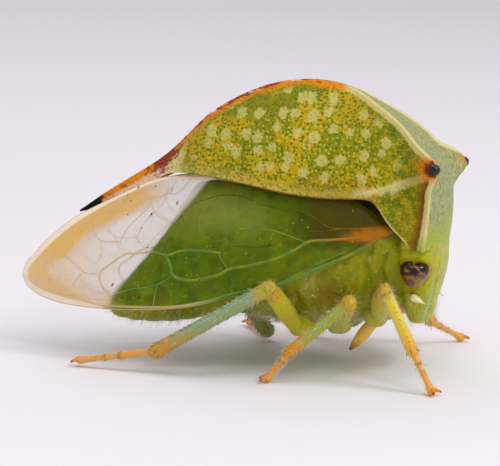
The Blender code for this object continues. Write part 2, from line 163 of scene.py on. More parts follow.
def route_distance(points: Points, route: Sequence[Sequence[float]]) -> Points:
    """Measures how far points lie from a chain of straight stretches.

    Args:
        points: An array whose last axis is a place in two or three dimensions.
        route: The chain's corners, in the same dimensions.

    Returns:
        The distance of each point.
    """
    points = np.asarray(points, float)
    corners = np.array(route, float)
    best = np.full(points.shape[:-1], 1e9)
    for start, end in zip(corners, corners[1:]):
        along = end - start
        part = np.clip(((points - start) @ along) / max(along @ along, 1e-12), 0.0, 1.0)
        away = points - (start + part[..., None] * along)
        best = np.minimum(best, np.linalg.norm(away, axis=-1))
    return best


def grid_normals(grid: Points, closed: bool) -> Points:
    """Gives the unit normals of a grid of points, whose columns may close on themselves."""
    along = np.gradient(grid, axis=0)
    if closed:
        across = (np.roll(grid, -1, axis=1) - np.roll(grid, 1, axis=1)) / 2
    else:
        across = np.gradient(grid, axis=1)
    return unit(np.cross(along, across))


@dataclass
class Surface:
    """A closed surface laid out as a grid, with numbers that its finish reads."""

    name: str
    grid: Points
    fields: dict[str, Points] = field(default_factory=dict)

    def mesh_data(self) -> tuple[Points, Points, dict[str, Points], Points]:
        """Lists points, triangles and quads as one face table, fields and the lay of each point."""
        rows, columns = self.grid.shape[:2]
        points = self.grid.reshape(-1, 3)
        index = np.arange(rows * columns).reshape(rows, columns)
        beside = np.roll(index, -1, axis=1)
        quads = np.stack([index[:-1], beside[:-1], beside[1:], index[1:]], axis=-1).reshape(-1, 4)
        first = np.full(columns, len(points))
        last = first + 1
        ends = np.concatenate([
            np.stack([beside[0], index[0], first, first], axis=-1),
            np.stack([index[-1], beside[-1], last, last], axis=-1)])
        centres = np.stack([self.grid[0].mean(axis=0), self.grid[-1].mean(axis=0)])
        values = {name: np.concatenate([value.reshape(-1), [value[0].mean(), value[-1].mean()]])
                  for name, value in self.fields.items()}
        lay = np.meshgrid(np.linspace(0.05, 0.95, rows), np.linspace(0.05, 0.95, columns), indexing="ij")
        lay = np.concatenate([np.stack(lay, axis=-1).reshape(-1, 2), [[0.02, 0.5], [0.98, 0.5]]])
        return np.concatenate([points, centres]), np.concatenate([quads, ends]), values, lay


def build_piece(name: str, surfaces: Iterable[Surface],
                material: bpy.types.Material | None = None) -> bpy.types.Object:
    """Makes one mesh object of closed surfaces, facing outwards.

    Args:
        name: The piece's name.
        surfaces: Its surfaces, which may overlap.
        material: Its material, or none for a shape that is only repeated.

    Returns:
        The object, at the origin, linked to the scene.
    """
    all_points, all_faces, all_values, all_lay, offset = [], [], {}, [], 0
    for surface in surfaces:
        points, faces, values, lay = surface.mesh_data()
        a, b, c, d = (points[faces[:, k]] for k in range(4))
        if (a * (np.cross(b, c) + np.cross(c, d))).sum() < 0:
            faces = faces[:, ::-1]
        all_points.append(points)
        all_faces.append(faces + offset)
        all_lay.append(lay)
        for key, value in values.items():
            all_values.setdefault(key, []).append(value)
        offset += len(points)
    faces = [tuple(dict.fromkeys(row)) for row in np.concatenate(all_faces).tolist()]
    mesh = bpy.data.meshes.new(name)
    mesh.from_pydata(np.concatenate(all_points).tolist(), [], faces)
    for key, values in all_values.items():
        write_field(mesh, key, np.concatenate(values))
    corners = np.empty(len(mesh.loops), np.int32)
    mesh.loops.foreach_get("vertex_index", corners)
    sheet = mesh.uv_layers.new(name="Lay")
    sheet.data.foreach_set("uv", np.concatenate(all_lay)[corners].astype(np.float32).ravel())
    mesh.shade_smooth()
    if material:
        mesh.materials.append(material)
    mesh.update()
    return linked(name, mesh)


def tube_grid(route: Points, radii: Points, sides: int, flat: float = 1.0, square: float = 1.0) -> Points:
    """Sweeps a round or squarish section along a route and closes its ends in domes.

    Args:
        route: Points along the middle.
        radii: The half height of the section at each point.
        sides: Points round the section.
        flat: Width over height.
        square: 1 is round and smaller is squarer.

    Returns:
        A grid of points.
    """
    route, radii = np.asarray(route, float), np.asarray(radii, float)
    ways = unit(np.gradient(route, axis=0))
    turns = round_steps(sides)
    over, aside = fuller(np.cos(turns), square), fuller(np.sin(turns), square)
    rings = []
    for middle, radius, way in zip(route, radii, ways):
        sideways = unit(np.cross(way, (0.0, 0.0, 1.0)))
        height = np.cross(sideways, way)
        rings.append(middle + np.outer(over, height) * radius + np.outer(aside, sideways) * radius * flat)
    caps = [[route[end] + ways[end] * sign * radii[end] * math.sin(turn)
             + (rings[end] - route[end]) * max(math.cos(turn), 0.03) for turn in DOME_TURNS]
            for end, sign in ((0, -1.0), (-1, 1.0))]
    return np.array(caps[0][::-1] + rings + caps[1])


def tapered(name: str, rows: Sequence[Sequence[float]], steps: int, sides: int, flat: float = 1.0,
            sign: float = 1.0) -> Surface:
    """Builds a small tapered tube of the body.

    Args:
        name: Its name.
        rows: Its stations: x, y, z and thickness, in millimetres.
        steps: Rings along it.
        sides: Points round it.
        flat: Width over height.
        sign: The insect's side, for a piece that comes in a pair.

    Returns:
        The surface, with how far along it each point lies as its field "reach".
    """
    smooth = glide(rows, np.linspace(0, len(rows) - 1, steps))
    grid = tube_grid(smooth[:, :3] * mirrored(sign), smooth[:, 3], sides, flat)
    reach = np.repeat(np.linspace(0, 1, len(grid))[:, None], sides, axis=1)
    return Surface(name, on_body(grid), {"reach": reach})


class Value:
    """A node's output, so that shader maths reads as arithmetic."""

    def __init__(self, tree: "Tree", socket: bpy.types.NodeSocket) -> None:
        """Keeps the socket and the tree that it belongs to."""
        self.tree = tree
        self.socket = socket

    def _math(self, operation: str, *others: "Value | float") -> "Value":
        """Adds one Math node on this value and others."""
        return self.tree.node("ShaderNodeMath", {"operation": operation}, dict(enumerate((self, *others))))

    def __add__(self, other: "Value | float") -> "Value":
        """Adds."""
        return self._math("ADD", other)

    __radd__ = __add__

    def __sub__(self, other: "Value | float") -> "Value":
        """Takes away."""
        return self._math("SUBTRACT", other)

    def __rsub__(self, other: float) -> "Value":
        """Takes this value away from a number."""
        return self.tree.node("ShaderNodeMath", {"operation": "SUBTRACT"}, {0: other, 1: self})

    def __mul__(self, other: "Value | float") -> "Value":
        """Multiplies."""
        return self._math("MULTIPLY", other)

    __rmul__ = __mul__

    def top(self, other: "Value | float") -> "Value":
        """Keeps the larger of two values."""
        return self._math("MAXIMUM", other)

    def band(self, low: float, high: float) -> "Value":
        """Rises smoothly from 0 at low to 1 at high; with low above high it falls."""
        if low < high:
            return self.tree.node("ShaderNodeMapRange", {"interpolation_type": "SMOOTHSTEP"},
                                  {"Value": self, "From Min": low, "From Max": high})
        return 1.0 - self.band(high, low)


class Tree:
    """A material under construction, with one Principled shader."""

    def __init__(self, name: str) -> None:
        """Starts an empty material."""
        self.material = bpy.data.materials.new(name)
        self.material.use_nodes = True
        self.nodes = self.material.node_tree.nodes
        self.links = self.material.node_tree.links
        self.nodes.clear()
        self.shader = self.nodes.new("ShaderNodeBsdfPrincipled")
        output = self.nodes.new("ShaderNodeOutputMaterial")
        self.links.new(self.shader.outputs[0], output.inputs["Surface"])

    def set_input(self, node: bpy.types.Node, key: str | int, value: object) -> None:
        """Links a value to a node's input, or writes a constant on it."""
        socket = node.inputs[key]
        if isinstance(value, Value):
            self.links.new(value.socket, socket)
        elif hasattr(socket.default_value, "__len__") and len(value) == 3 and len(socket.default_value) == 4:
            socket.default_value = (*value, 1.0)
        else:
            socket.default_value = value

    def node(self, kind: str, settings: dict, inputs: dict, output: str | int = 0) -> Value:
        """Adds a node.

        Args:
            kind: The node's type.
            settings: Its own settings, set first.
            inputs: Values, links or constants of its inputs, by name or number.
            output: Which output is meant.

        Returns:
            That output.
        """
        made = self.nodes.new(kind)
        for key, value in settings.items():
            setattr(made, key, value)
        for key, value in inputs.items():
            self.set_input(made, key, value)
        return Value(self, made.outputs[output])

    def field(self, name: str) -> Value:
        """Reads a number that the mesh carries."""
        return self.node("ShaderNodeAttribute", {"attribute_name": name}, {}, "Fac")

    def fields(self, names: str) -> list[Value]:
        """Reads several such numbers, whose names stand in one text."""
        return [self.field(name) for name in names.split()]

    def place(self, stretch: Sequence[float] = (1.0, 1.0, 1.0), tilt: float = 0.0,
              lean: float = 0.0) -> Value:
        """Gives the place on the object in millimetres.

        Args:
            stretch: How long a pattern's grains are along each axis.
            tilt: How far those axes are turned about the insect's width, in degrees.
            lean: How far they are turned about its length; 90 lays a flat pattern on its side.

        Returns:
            The place, as a vector.
        """
        where = self.node("ShaderNodeTexCoord", {}, {}, "Object")
        return self.node("ShaderNodeMapping", {"vector_type": "TEXTURE"}, {
            "Vector": where, "Scale": tuple(part * MM for part in stretch),
            "Rotation": (math.radians(lean), math.radians(tilt), 0.0)})

    def noise(self, where: Value, scale: float, detail: float = 2.0, rough: float = 0.5) -> Value:
        """Gives cloudy noise between 0 and 1."""
        return self.node("ShaderNodeTexNoise", {}, {"Vector": where, "Scale": scale, "Detail": detail,
                                                    "Roughness": rough})

    def cells(self, where: Value, scale: float, output: str = "Distance", flat: bool = False,
              chance: float = 1.0) -> Value:
        """Gives a pattern of scattered cells, in space or flat, in rows where chance is low."""
        return self.node("ShaderNodeTexVoronoi", {"voronoi_dimensions": "2D" if flat else "3D"},
                         {"Vector": where, "Scale": scale, "Randomness": chance}, output)

    def part(self, colour: Value, channel: int) -> Value:
        """Takes one channel of a colour."""
        return self.node("ShaderNodeSeparateColor", {}, {0: colour}, channel)

    def paint(self, under: "Value | Sequence[float]", over: "Value | Sequence[float]", mask: Value) -> Value:
        """Lays one colour over another by a mask."""
        return self.node("ShaderNodeMix", {"data_type": "RGBA"}, {0: mask, 6: under, 7: over}, 2)

    def coats(self, under: "Value | Sequence[float]", *layers: tuple) -> Value:
        """Lays several colours over one another, each given as a pair of colour and mask."""
        for over, mask in layers:
            under = self.paint(under, over, mask)
        return under

    def few(self, where: Value, scale: float, size: tuple, channel: int, share: tuple) -> Value:
        """Gives small round dots on only some of the cells of a pattern.

        Args:
            where: The place on the object.
            scale: How dense the cells are.
            size: Where a dot begins and where it is full.
            channel: The channel of the cells' colour that chooses among them.
            share: The values of that channel where the choice begins and is full.

        Returns:
            The dots' mask.
        """
        return self.cells(where, scale).band(*size) * self.part(self.cells(where, scale, "Color"),
                                                                channel).band(*share)

    def bump(self, height: Value, distance: float, strength: float = 1.0) -> Value:
        """Turns a height into a bumped normal; the distance is in millimetres."""
        return self.node("ShaderNodeBump", {}, {"Height": height, "Distance": distance * MM,
                                                "Strength": strength})

    def finish(self, **inputs: object) -> bpy.types.Material:
        """Sets the shader's inputs, whose names use _ for a space, and returns the material."""
        for key, value in inputs.items():
            self.set_input(self.shader, key.replace("_", " "), value)
        return self.material


def srgb(red: int, green: int, blue: int) -> tuple[float, float, float]:
    """Turns a display colour, 0 to 255, into a linear one."""
    def linear(level: int) -> float:
        """Turns one channel."""
        part = level / 255
        return part / 12.92 if part <= 0.04045 else ((part + 0.055) / 1.055) ** 2.4
    return linear(red), linear(green), linear(blue)


@dataclass(frozen=True)
class ShieldFinish:
    """The pitted, spotted shield: olive sides, cream ridges, an orange crest and a blue-green face."""

    leaf: tuple = srgb(108, 122, 0)
    deep: tuple = srgb(78, 86, 0)
    grain: tuple = srgb(186, 164, 4)
    ochre: tuple = srgb(200, 154, 2)
    dot: tuple = srgb(206, 196, 64)
    spot: tuple = srgb(198, 190, 104)
    cream: tuple = srgb(226, 212, 140)
    crest: tuple = srgb(226, 134, 0)
    blotch: tuple = srgb(128, 26, 0)
    fleck: tuple = srgb(244, 226, 204)
    black: tuple = srgb(10, 6, 8)
    pink: tuple = srgb(236, 196, 164)
    brown: tuple = srgb(146, 92, 0)
    umber: tuple = srgb(104, 58, 0)
    face: tuple = srgb(158, 164, 110)
    face_blue: tuple = srgb(116, 158, 142)
    face_warm: tuple = srgb(200, 180, 96)
    face_low: tuple = srgb(164, 180, 44)
    horn_root: tuple = srgb(128, 40, 0)
    horn_glow: tuple = srgb(220, 128, 0)
    knot_at: tuple = (-1.95, 0.0, 4.45)

    def lace(self, t: Tree, place: Value, cloud: Value, fine: Value) -> tuple[Value, Value]:
        """Paints the network of yellow lines round green pits.

        Args:
            t: The material.
            place: The place on the shield.
            cloud: Broad noise.
            fine: Fine noise.

        Returns:
            The colour, and the height of the relief.
        """
        pits = t.cells(place, 13.0) + (fine - 0.5) * 0.3
        lines = pits.band(0.32, 0.56)
        warm = t.noise(place, 8.0, 3.0).band(0.46, 0.60)
        colour = t.coats(
            self.leaf,
            # Painted shade: the deep colour darkens the pits' hollows, where the bump map sinks.
            (self.deep, pits.band(0.30, 0.08) * 0.4),
            (t.paint(self.grain, self.ochre, warm), lines * (cloud.band(0.40, 0.58) * 0.62 + 0.22)),
            (self.ochre, cloud.band(0.46, 0.58) * warm * lines * 0.7))
        return colour, pits

    def strokes(self, t: Tree) -> Value:
        """Paints the short dark strokes that stand square to the front ridge."""
        strokes = t.cells(t.place((0.8, 1.0, 1.5), 45.0), 22.0)
        mixed = t.paint(self.leaf, self.grain, t.noise(t.place(), 5.0, 3.0).band(0.42, 0.62) * 0.8)
        return t.paint(self.deep, mixed, strokes.band(0.14, 0.5))

    def crested(self, t: Tree, side: Value, keel: Value, along: Value, fine: Value) -> Value:
        """Paints the orange crest with its dark red blotches and pale flecks, and the rear spine.

        Args:
            t: The material.
            side: The side's colour so far.
            keel: How far a point lies below the keel.
            along: How far forward it lies.
            fine: Fine noise.

        Returns:
            The side's colour with crest and spine.
        """
        place = t.place()
        wander = fine - 0.5
        rear = along.band(2.7, 2.0)
        crest_edge = keel + wander * 0.26 + (t.noise(place, 3.0, 2.0) - 0.5) * 0.2
        blots = (t.noise(t.place((2.0, 1.0, 1.0), 30.0), 2.6, 3.0, 0.6) + wander * 0.4).band(0.48, 0.55)
        streaks = t.noise(t.place((4.0, 1.0, 1.0), 31.0), 5.0, 2.0)
        spine = t.coats(
            self.crest,
            (self.horn_glow, t.noise(place, 4.0, 3.0).band(0.45, 0.6) * 0.7),
            (self.pink, t.field("depth").band(0.40, 0.68)),
            (self.blotch, streaks.band(0.56, 0.68) * 0.5))
        knot = t.node("ShaderNodeVectorMath", {"operation": "DISTANCE"},
                      {0: place, 1: tuple(on_body(self.knot_at) / MM)}, "Value")
        return t.coats(
            side,
            (self.crest, crest_edge.band(0.42, 0.15) * rear),
            (self.blotch, blots * crest_edge.band(0.26, 0.14) * rear),
            (self.fleck, t.cells(place, 3.5).band(0.30, 0.20) * keel.band(0.20, 0.08) * rear * 0.85),
            (spine, along.band(-1.7, -1.95)),
            (self.blotch, (knot + wander * 1.1).band(0.56, 0.32) * (fine * 0.4 + 0.7)),
            (self.black, (along + wander * 0.25).band(-3.30, -3.46)),
            (self.black, keel.band(0.05, 0.02) * along.band(1.35, 1.5) * along.band(2.5, 2.2)))

    def sides(self, t: Tree, cloud: Value, fine: Value) -> tuple[Value, Value]:
        """Paints the shield's sides: lace, strokes, dots, spots, stripes and crest.

        Args:
            t: The material.
            cloud: Broad noise.
            fine: Fine noise.

        Returns:
            The colour, and the height of the relief.
        """
        sheet = t.place(lean=90.0)
        keel, ridge, edge, stripe, along = t.fields("keel ridge edge stripe along")
        wander = fine - 0.5
        side, pits = self.lace(t, t.place(), cloud, fine)
        frontal = along.band(2.2, 3.3) * ridge.band(1.4, 0.3)
        frontal = frontal.top(stripe.band(0.9, 0.4) * along.band(3.2, 3.6))
        # Pale dots on the granules: partly the cuticle's own dots, partly painted glints standing in for the
        # granules' highlights.
        dots = t.cells(sheet, 9.0, flat=True, chance=0.7).band(0.30, 0.15) * keel.band(0.7, 1.3)
        speck = t.part(t.cells(sheet, 2.55, "Color", True, 0.72), 1)
        spots = t.cells(sheet, 2.55, flat=True, chance=0.72) + wander * 0.55 + speck * 0.10
        region = keel.band(0.26, 0.42) * ridge.band(0.12, 0.40) * edge.band(0.24, 0.42) * along.band(4.1, 3.7)
        region = region * along.band(-1.75, -1.5) * speck.band(0.96, 0.90)
        behind_cheek = along.band(3.3, 2.9)
        side = t.coats(
            side,
            (self.strokes(t), frontal * 0.95),
            (self.dot, dots * (0.62 - frontal * 0.45)),
            (self.spot, spots.band(0.345, 0.285) * region * (1.0 - frontal * along.band(3.2, 3.7)) * 0.78),
            (self.brown, edge.band(0.60, 0.25) * along.band(0.9, 2.0) * behind_cheek
             * fine.band(0.38, 0.6) * 0.6),
            (self.spot, edge.band(0.32, 0.10) * (fine.band(0.35, 0.6) * 0.4 + 0.1) * along.band(3.2, 2.8)),
            (self.ochre, edge.band(0.17, 0.14) * edge.band(0.10, 0.12) * along.band(-1.4, 0.0)
             * along.band(3.2, 2.9) * 0.6),
            # Painted highlight: a thin cream line along the cheek's lower edge.
            (self.cream, edge.band(0.045, 0.02) * along.band(3.05, 3.2) * 0.7),
            (self.cream, (along + wander * 0.3).band(-1.35, -1.65) * keel.band(0.3, 0.5) * 0.75),
            (self.brown, edge.band(0.05, 0.02) * along.band(-1.4, 0.4) * behind_cheek * 0.9),
            (t.paint(self.cream, self.ochre, along.band(3.5, 4.0) * 0.7),
             (stripe + wander * 0.14).band(0.15, 0.07) * along.band(2.2, 2.9) * 0.7))
        return self.crested(t, side, keel, along, fine), pits

    def material(self) -> bpy.types.Material:
        """Builds the node tree: sides, face, the ridge between them and the horns' roots."""
        t = Tree("shield_cuticle")
        place = t.place()
        ridge, horn, front, along = t.fields("ridge horn front along")
        cloud, fine = t.noise(place, 1.2, 3.0), t.noise(place, 10.0, 3.0)
        side, pits = self.sides(t, cloud, fine)
        wander = fine - 0.5
        speckle = t.cells(place, 21.0, "Color")
        height_up = t.node("ShaderNodeSeparateXYZ", {}, {0: place}, "Z") + wander * 0.3
        face = t.coats(
            self.face,
            (self.face_blue, t.part(speckle, 0).band(0.45, 0.75) * (cloud * 0.8 + 0.15)),
            (self.face_warm, t.part(speckle, 1).band(0.62, 0.76) * 0.9),
            (self.leaf, t.part(speckle, 2).band(0.60, 0.85) * 0.6),
            (self.face_low, height_up.band(3.75, 3.05) * 0.9))
        brown_band = ridge.band(0.50, 0.18) * (1.0 - front) * t.field("cheek") * ridge.band(0.08, 0.13)
        rim = (ridge + wander * 0.10).band(0.16, 0.08) * along.band(1.95, 2.25)
        by_horn = horn + wander * 0.10
        beside = 1.0 - front * 0.97
        colour = t.coats(
            t.paint(side, face, front),
            (t.paint(self.brown, self.umber, ridge.band(0.30, 0.14)),
             (brown_band + wander * 0.8).band(0.05, 0.95) * (0.4 + fine * 0.8)),
            (t.paint(self.cream, self.face_low, height_up.band(3.35, 2.95) * 0.8), rim * (fine * 0.5 + 0.62)),
            (self.horn_glow, by_horn.band(0.31, 0.19) * beside * 0.85),
            (self.horn_root, by_horn.band(0.23, 0.15) * beside),
            (self.horn_glow, by_horn.band(0.19, 0.12) * front * 0.8))
        height = pits.band(0.1, 0.6) * (1.0 - rim * 0.7) + fine * 0.3
        return t.finish(Base_Color=colour, Roughness=fine * 0.2 + 0.36, Normal=t.bump(height, 0.018, 0.9),
                        Specular_IOR_Level=0.13)


@dataclass(frozen=True)
class HornFinish:
    """Horn: orange-red at the root, polished black at the tip."""

    root: tuple = srgb(110, 34, 4)
    tip: tuple = srgb(12, 10, 14)

    def material(self) -> bpy.types.Material:
        """Builds the node tree."""
        t = Tree("horn_tip")
        cloud = t.noise(t.place(), 9.0, 3.0)
        reach = t.field("reach") + (cloud - 0.5) * 0.25
        colour = t.paint(self.root, self.tip, reach.band(0.60, 0.74))
        return t.finish(Base_Color=colour, Roughness=cloud * 0.1 + 0.20, Normal=t.bump(cloud, 0.006, 0.6),
                        Specular_IOR_Level=0.5)


@dataclass(frozen=True)
class SkinFinish:
    """Soft green cuticle of head and body, paler below and in its folds, with painted shade in its creases,
    dents and pits and painted glints as small pale specks.
    """

    name: str
    base: tuple
    dark: tuple
    light: tuple
    blue: tuple = srgb(150, 190, 168)
    amber: tuple = srgb(176, 132, 22)
    bump: float = 0.03

    def material(self) -> bpy.types.Material:
        """Builds the node tree."""
        t = Tree(self.name)
        place = t.place()
        cloud, fine, grain = t.noise(place, 1.5, 3.0), t.noise(place, 14.0, 4.0), t.cells(place, 17.0)
        colour = t.coats(
            self.base,
            # Painted shade: the shade field darkens creases, folds, dents and grooves, with cloudy tone on
            # top.
            (self.dark, (cloud * 0.7 + t.field("shade") * 0.8).band(0.45, 1.0)),
            (self.dark, t.noise(place, 3.6, 4.0, 0.6).band(0.50, 0.62) * 0.45),
            (self.amber, t.noise(place, 2.4, 3.0).band(0.54, 0.68) * 0.35),
            (self.light, t.field("pale") * (0.55 + fine * 0.4)),
            (self.blue, t.field("blue") * (0.4 + cloud * 0.6)),
            (self.amber, t.field("amber") * (0.45 + cloud * 0.5)),
            (self.amber, t.cells(place, 2.6).band(0.16, 0.06) * fine.band(0.4, 0.6) * 0.5),
            (self.light, t.noise(place, 7.0, 2.0).band(0.58, 0.74) * 0.34),
            # Painted shade: darker in the small pits where the bump map sinks.
            (self.dark, grain.band(0.30, 0.08) * 0.35),
            # Painted glints: small pale specks.
            (self.light, t.cells(place, 4.6).band(0.13, 0.07) * 0.8))
        height = grain * 0.5 + fine * 0.5
        return t.finish(Base_Color=colour, Roughness=fine * 0.24 + 0.28,
                        Normal=t.bump(height, self.bump, 0.8), Subsurface_Weight=0.12,
                        Subsurface_Radius=(0.0006, 0.0005, 0.0001), Subsurface_Scale=0.6,
                        Specular_IOR_Level=0.18)


@dataclass(frozen=True)
class EyeFinish:
    """The eye: tan and violet glass with a maroon maze over its upper half and a yellow rim."""

    tan: tuple = srgb(142, 110, 16)
    violet: tuple = srgb(104, 72, 56)
    maroon: tuple = srgb(44, 8, 0)
    rim: tuple = srgb(204, 174, 50)
    socket: tuple = srgb(150, 168, 16)

    def material(self) -> bpy.types.Material:
        """Builds the node tree."""
        t = Tree("eye_glass")
        place = t.place()
        maze = t.noise(place, 4.4, 1.5) + (t.noise(place, 12.0, 2.0) - 0.5) * 0.30
        high, rim, socket = t.fields("high rim socket")
        colour = t.coats(
            self.tan,
            (self.violet, maze.band(0.47, 0.53) * high.band(0.62, 0.40)),
            (self.maroon, maze.band(0.62, 0.55) * high.band(0.30, 0.46)),
            (self.maroon, high.band(0.56, 0.76) * maze.band(0.66, 0.58)),
            (self.rim, rim),
            (self.socket, socket))
        return t.finish(Base_Color=colour, Roughness=maze * 0.03 + 0.025,
                        Normal=t.bump(t.cells(place, 48.0), 0.001, 0.3), Specular_IOR_Level=0.45)


@dataclass(frozen=True)
class WingFinish:
    """The glassy membrane: clear, amber towards the tip, pale at its very edge, brown at its root."""

    glass: tuple = srgb(255, 247, 238)
    leaf: tuple = srgb(108, 146, 0)
    amber: tuple = srgb(240, 190, 84)
    tan: tuple = srgb(248, 222, 184)
    rim: tuple = srgb(255, 238, 212)
    root: tuple = srgb(82, 74, 0)
    glow: tuple = srgb(204, 124, 0)
    speck: tuple = srgb(60, 40, 16)
    shade: tuple = srgb(56, 92, 0)
    painted_glint: tuple = srgb(206, 190, 84)

    def material(self) -> bpy.types.Material:
        """Builds the node tree."""
        t = Tree("wing_membrane")
        place = t.place()
        cloud, ripple = t.noise(place, 2.2, 3.0), t.noise(place, 7.0, 4.0, 0.6)
        bare, edge, base, tip, amber, glow = t.fields("bare edge base tip amber glow")
        amber = (amber + (cloud - 0.5) * 0.3).band(0.05, 1.0)
        pale = (edge - tip * 0.07).band(0.09, 0.04) * bare
        ticks = t.cells(t.place((0.45, 1.0, 1.6), 28.0), 2.1).band(0.085, 0.055)
        ticks = ticks * t.part(t.cells(place, 2.1, "Color"), 1).band(0.25, 0.3)
        specks = ticks.top(t.few(place, 3.3, (0.075, 0.05), 2, (0.5, 0.55)))
        # Painted glints: small pale-yellow specks over the body's part of the wing, made a little more
        # opaque.
        painted_glint = t.few(place, 6.5, (0.12, 0.07), 0, (0.4, 0.5)) * (1.0 - bare)
        colour = t.coats(
            self.leaf,
            (self.shade, t.noise(place, 2.8, 4.0, 0.65).band(0.48, 0.60) * 0.8),
            (self.glass, bare.band(0.2, 0.8)),
            (self.tan, tip * (0.4 + cloud * 0.5)),
            (self.amber, amber * (0.7 + ripple * 0.3)),
            (self.rim, pale),
            (self.root, base.band(0.0, 0.6) * (0.7 + cloud * 0.5)),
            (self.glow, (glow * (0.3 + ripple * 1.4)).band(0.1, 0.9)),
            (self.speck, specks),
            (self.painted_glint, painted_glint))
        alpha = bare.band(0.2, 0.8) * 0.10 + 0.30 + tip * 0.14 + amber * 0.24 + base.band(0.0, 0.8) * 0.40
        alpha = alpha + painted_glint * 0.5 + pale * 0.2 + edge.band(0.05, 0.01) * 0.2 + specks * 0.7
        alpha = alpha + (cloud - 0.5) * 0.2
        return t.finish(Base_Color=colour, Roughness=ripple * 0.2 + 0.16, Normal=t.bump(ripple, 0.03, 0.7),
                        Alpha=alpha.band(0.0, 1.0), Specular_IOR_Level=0.2)


@dataclass(frozen=True)
class VeinFinish:
    """Wing veins: blue-green over the body, tan where the wing is bare, some of them dark."""

    green: tuple = srgb(90, 138, 68)
    pale: tuple = srgb(142, 154, 40)
    tan: tuple = srgb(222, 192, 140)
    dark: tuple = srgb(62, 60, 0)
    orange: tuple = srgb(188, 104, 4)

    def material(self) -> bpy.types.Material:
        """Builds the node tree."""
        t = Tree("wing_veins")
        cloud = t.noise(t.place(), 3.0, 3.0)
        pale, bare, dark, base = t.fields("pale bare dark base")
        colour = t.coats(
            self.green,
            (self.pale, cloud.band(0.46, 0.60).top(pale)),
            (self.tan, bare),
            (self.dark, dark),
            (self.orange, base.band(0.0, 0.8) * cloud.band(0.25, 0.6) * 0.8))
        return t.finish(Base_Color=colour, Roughness=cloud * 0.2 + 0.3, Normal=t.bump(cloud, 0.01, 0.5),
                        Specular_IOR_Level=0.15)


@dataclass(frozen=True)
class LegFinish:
    """One leg's cuticle: its thigh, shin and foot colours, with pale lines along the shin."""

    name: str
    thigh: tuple
    shin: tuple
    shin_end: tuple
    lines: tuple
    foot: tuple
    knee: tuple = srgb(214, 164, 40)
    speck: tuple = srgb(70, 36, 10)
    line_count: int = 4

    def material(self) -> bpy.types.Material:
        """Builds the node tree."""
        t = Tree(self.name)
        place = t.place()
        limb, turn, tip = t.fields("limb turn tip")
        past_knee, past_ankle = limb - Limb.SHIN, limb - Limb.FOOT
        cloud, fine = t.noise(place, 3.4, 3.0), t.noise(place, 16.0, 3.0)
        stripes = t.node("ShaderNodeMath", {"operation": "SINE"}, {0: turn * (self.line_count * 2 * math.pi)})
        near_knee = past_knee.band(-0.28, -0.10) * past_knee.band(0.16, 0.03)
        joints = past_ankle.band(0.30, 0.33) * past_ankle.band(0.38, 0.35)
        joints = joints.top(past_ankle.band(0.60, 0.62) * past_ankle.band(0.66, 0.64))
        colour = t.coats(
            self.thigh,
            (self.knee, t.noise(place, 4.0, 4.0).band(0.50, 0.66) * 0.45),
            (self.shin, past_knee.band(-0.1, 0.02)),
            (self.shin_end, (past_knee + (cloud - 0.5) * 0.5).band(0.55, 0.95)),
            (self.lines, stripes.band(0.62, 0.9) * past_knee.band(0.0, 0.1) * past_knee.band(0.9, 0.7)
             * (0.4 + fine * 0.7)),
            (self.knee, near_knee * (0.6 + cloud * 0.5)),
            (self.thigh, near_knee * t.noise(place, 7.0, 2.0).band(0.48, 0.60) * 0.7),
            (self.speck, near_knee * t.cells(place, 10.0).band(0.22, 0.12)),
            (self.foot, past_ankle.band(0.01, 0.06)),
            (self.speck, joints * 0.35),
            (self.speck, tip * 0.8))
        height = fine + near_knee * t.cells(place, 11.0) * 2.5
        return t.finish(Base_Color=colour, Roughness=fine * 0.2 + 0.2, Normal=t.bump(height, 0.018, 0.9),
                        Subsurface_Weight=0.15, Subsurface_Radius=(0.0006, 0.0004, 0.0001),
                        Subsurface_Scale=0.5, Specular_IOR_Level=0.3)


@dataclass(frozen=True)
class PlainFinish:
    """A small part of one hue that darkens along its length."""

    name: str
    start: tuple
    end: tuple
    turn: tuple[float, float]
    rough: float = 0.27

    def material(self) -> bpy.types.Material:
        """Builds the node tree."""
        t = Tree(self.name)
        cloud = t.noise(t.place(), 8.0, 3.0)
        reach = t.field("reach") + (cloud - 0.5) * 0.3
        return t.finish(Base_Color=t.paint(self.start, self.end, reach.band(*self.turn)),
                        Roughness=cloud * 0.15 + self.rough,
                        Normal=t.bump(cloud, 0.01, 0.6), Specular_IOR_Level=0.25)


@dataclass(frozen=True)
class FloorFinish:
    """A plain pale floor, painted a little darker far behind where the light falls off."""

    tint: tuple = srgb(242, 239, 243)
    cloudy: float = 0.97
    far: float = 0.80

    def material(self) -> bpy.types.Material:
        """Builds the node tree."""
        t = Tree("pale_floor")
        place = t.place()
        cloud = t.noise(place, 0.05, 2.0)
        # Painted shade: the floor darkens far behind, where the light falls off.
        behind = t.node("ShaderNodeSeparateXYZ", {}, {0: place}, "Y").band(10.0, 120.0)
        colour = t.coats(self.tint, *((tuple(part * share for part in self.tint), mask)
                                      for share, mask in ((self.cloudy, cloud), (self.far, behind))))
        return t.finish(Base_Color=colour, Roughness=cloud * 0.1 + 0.6)


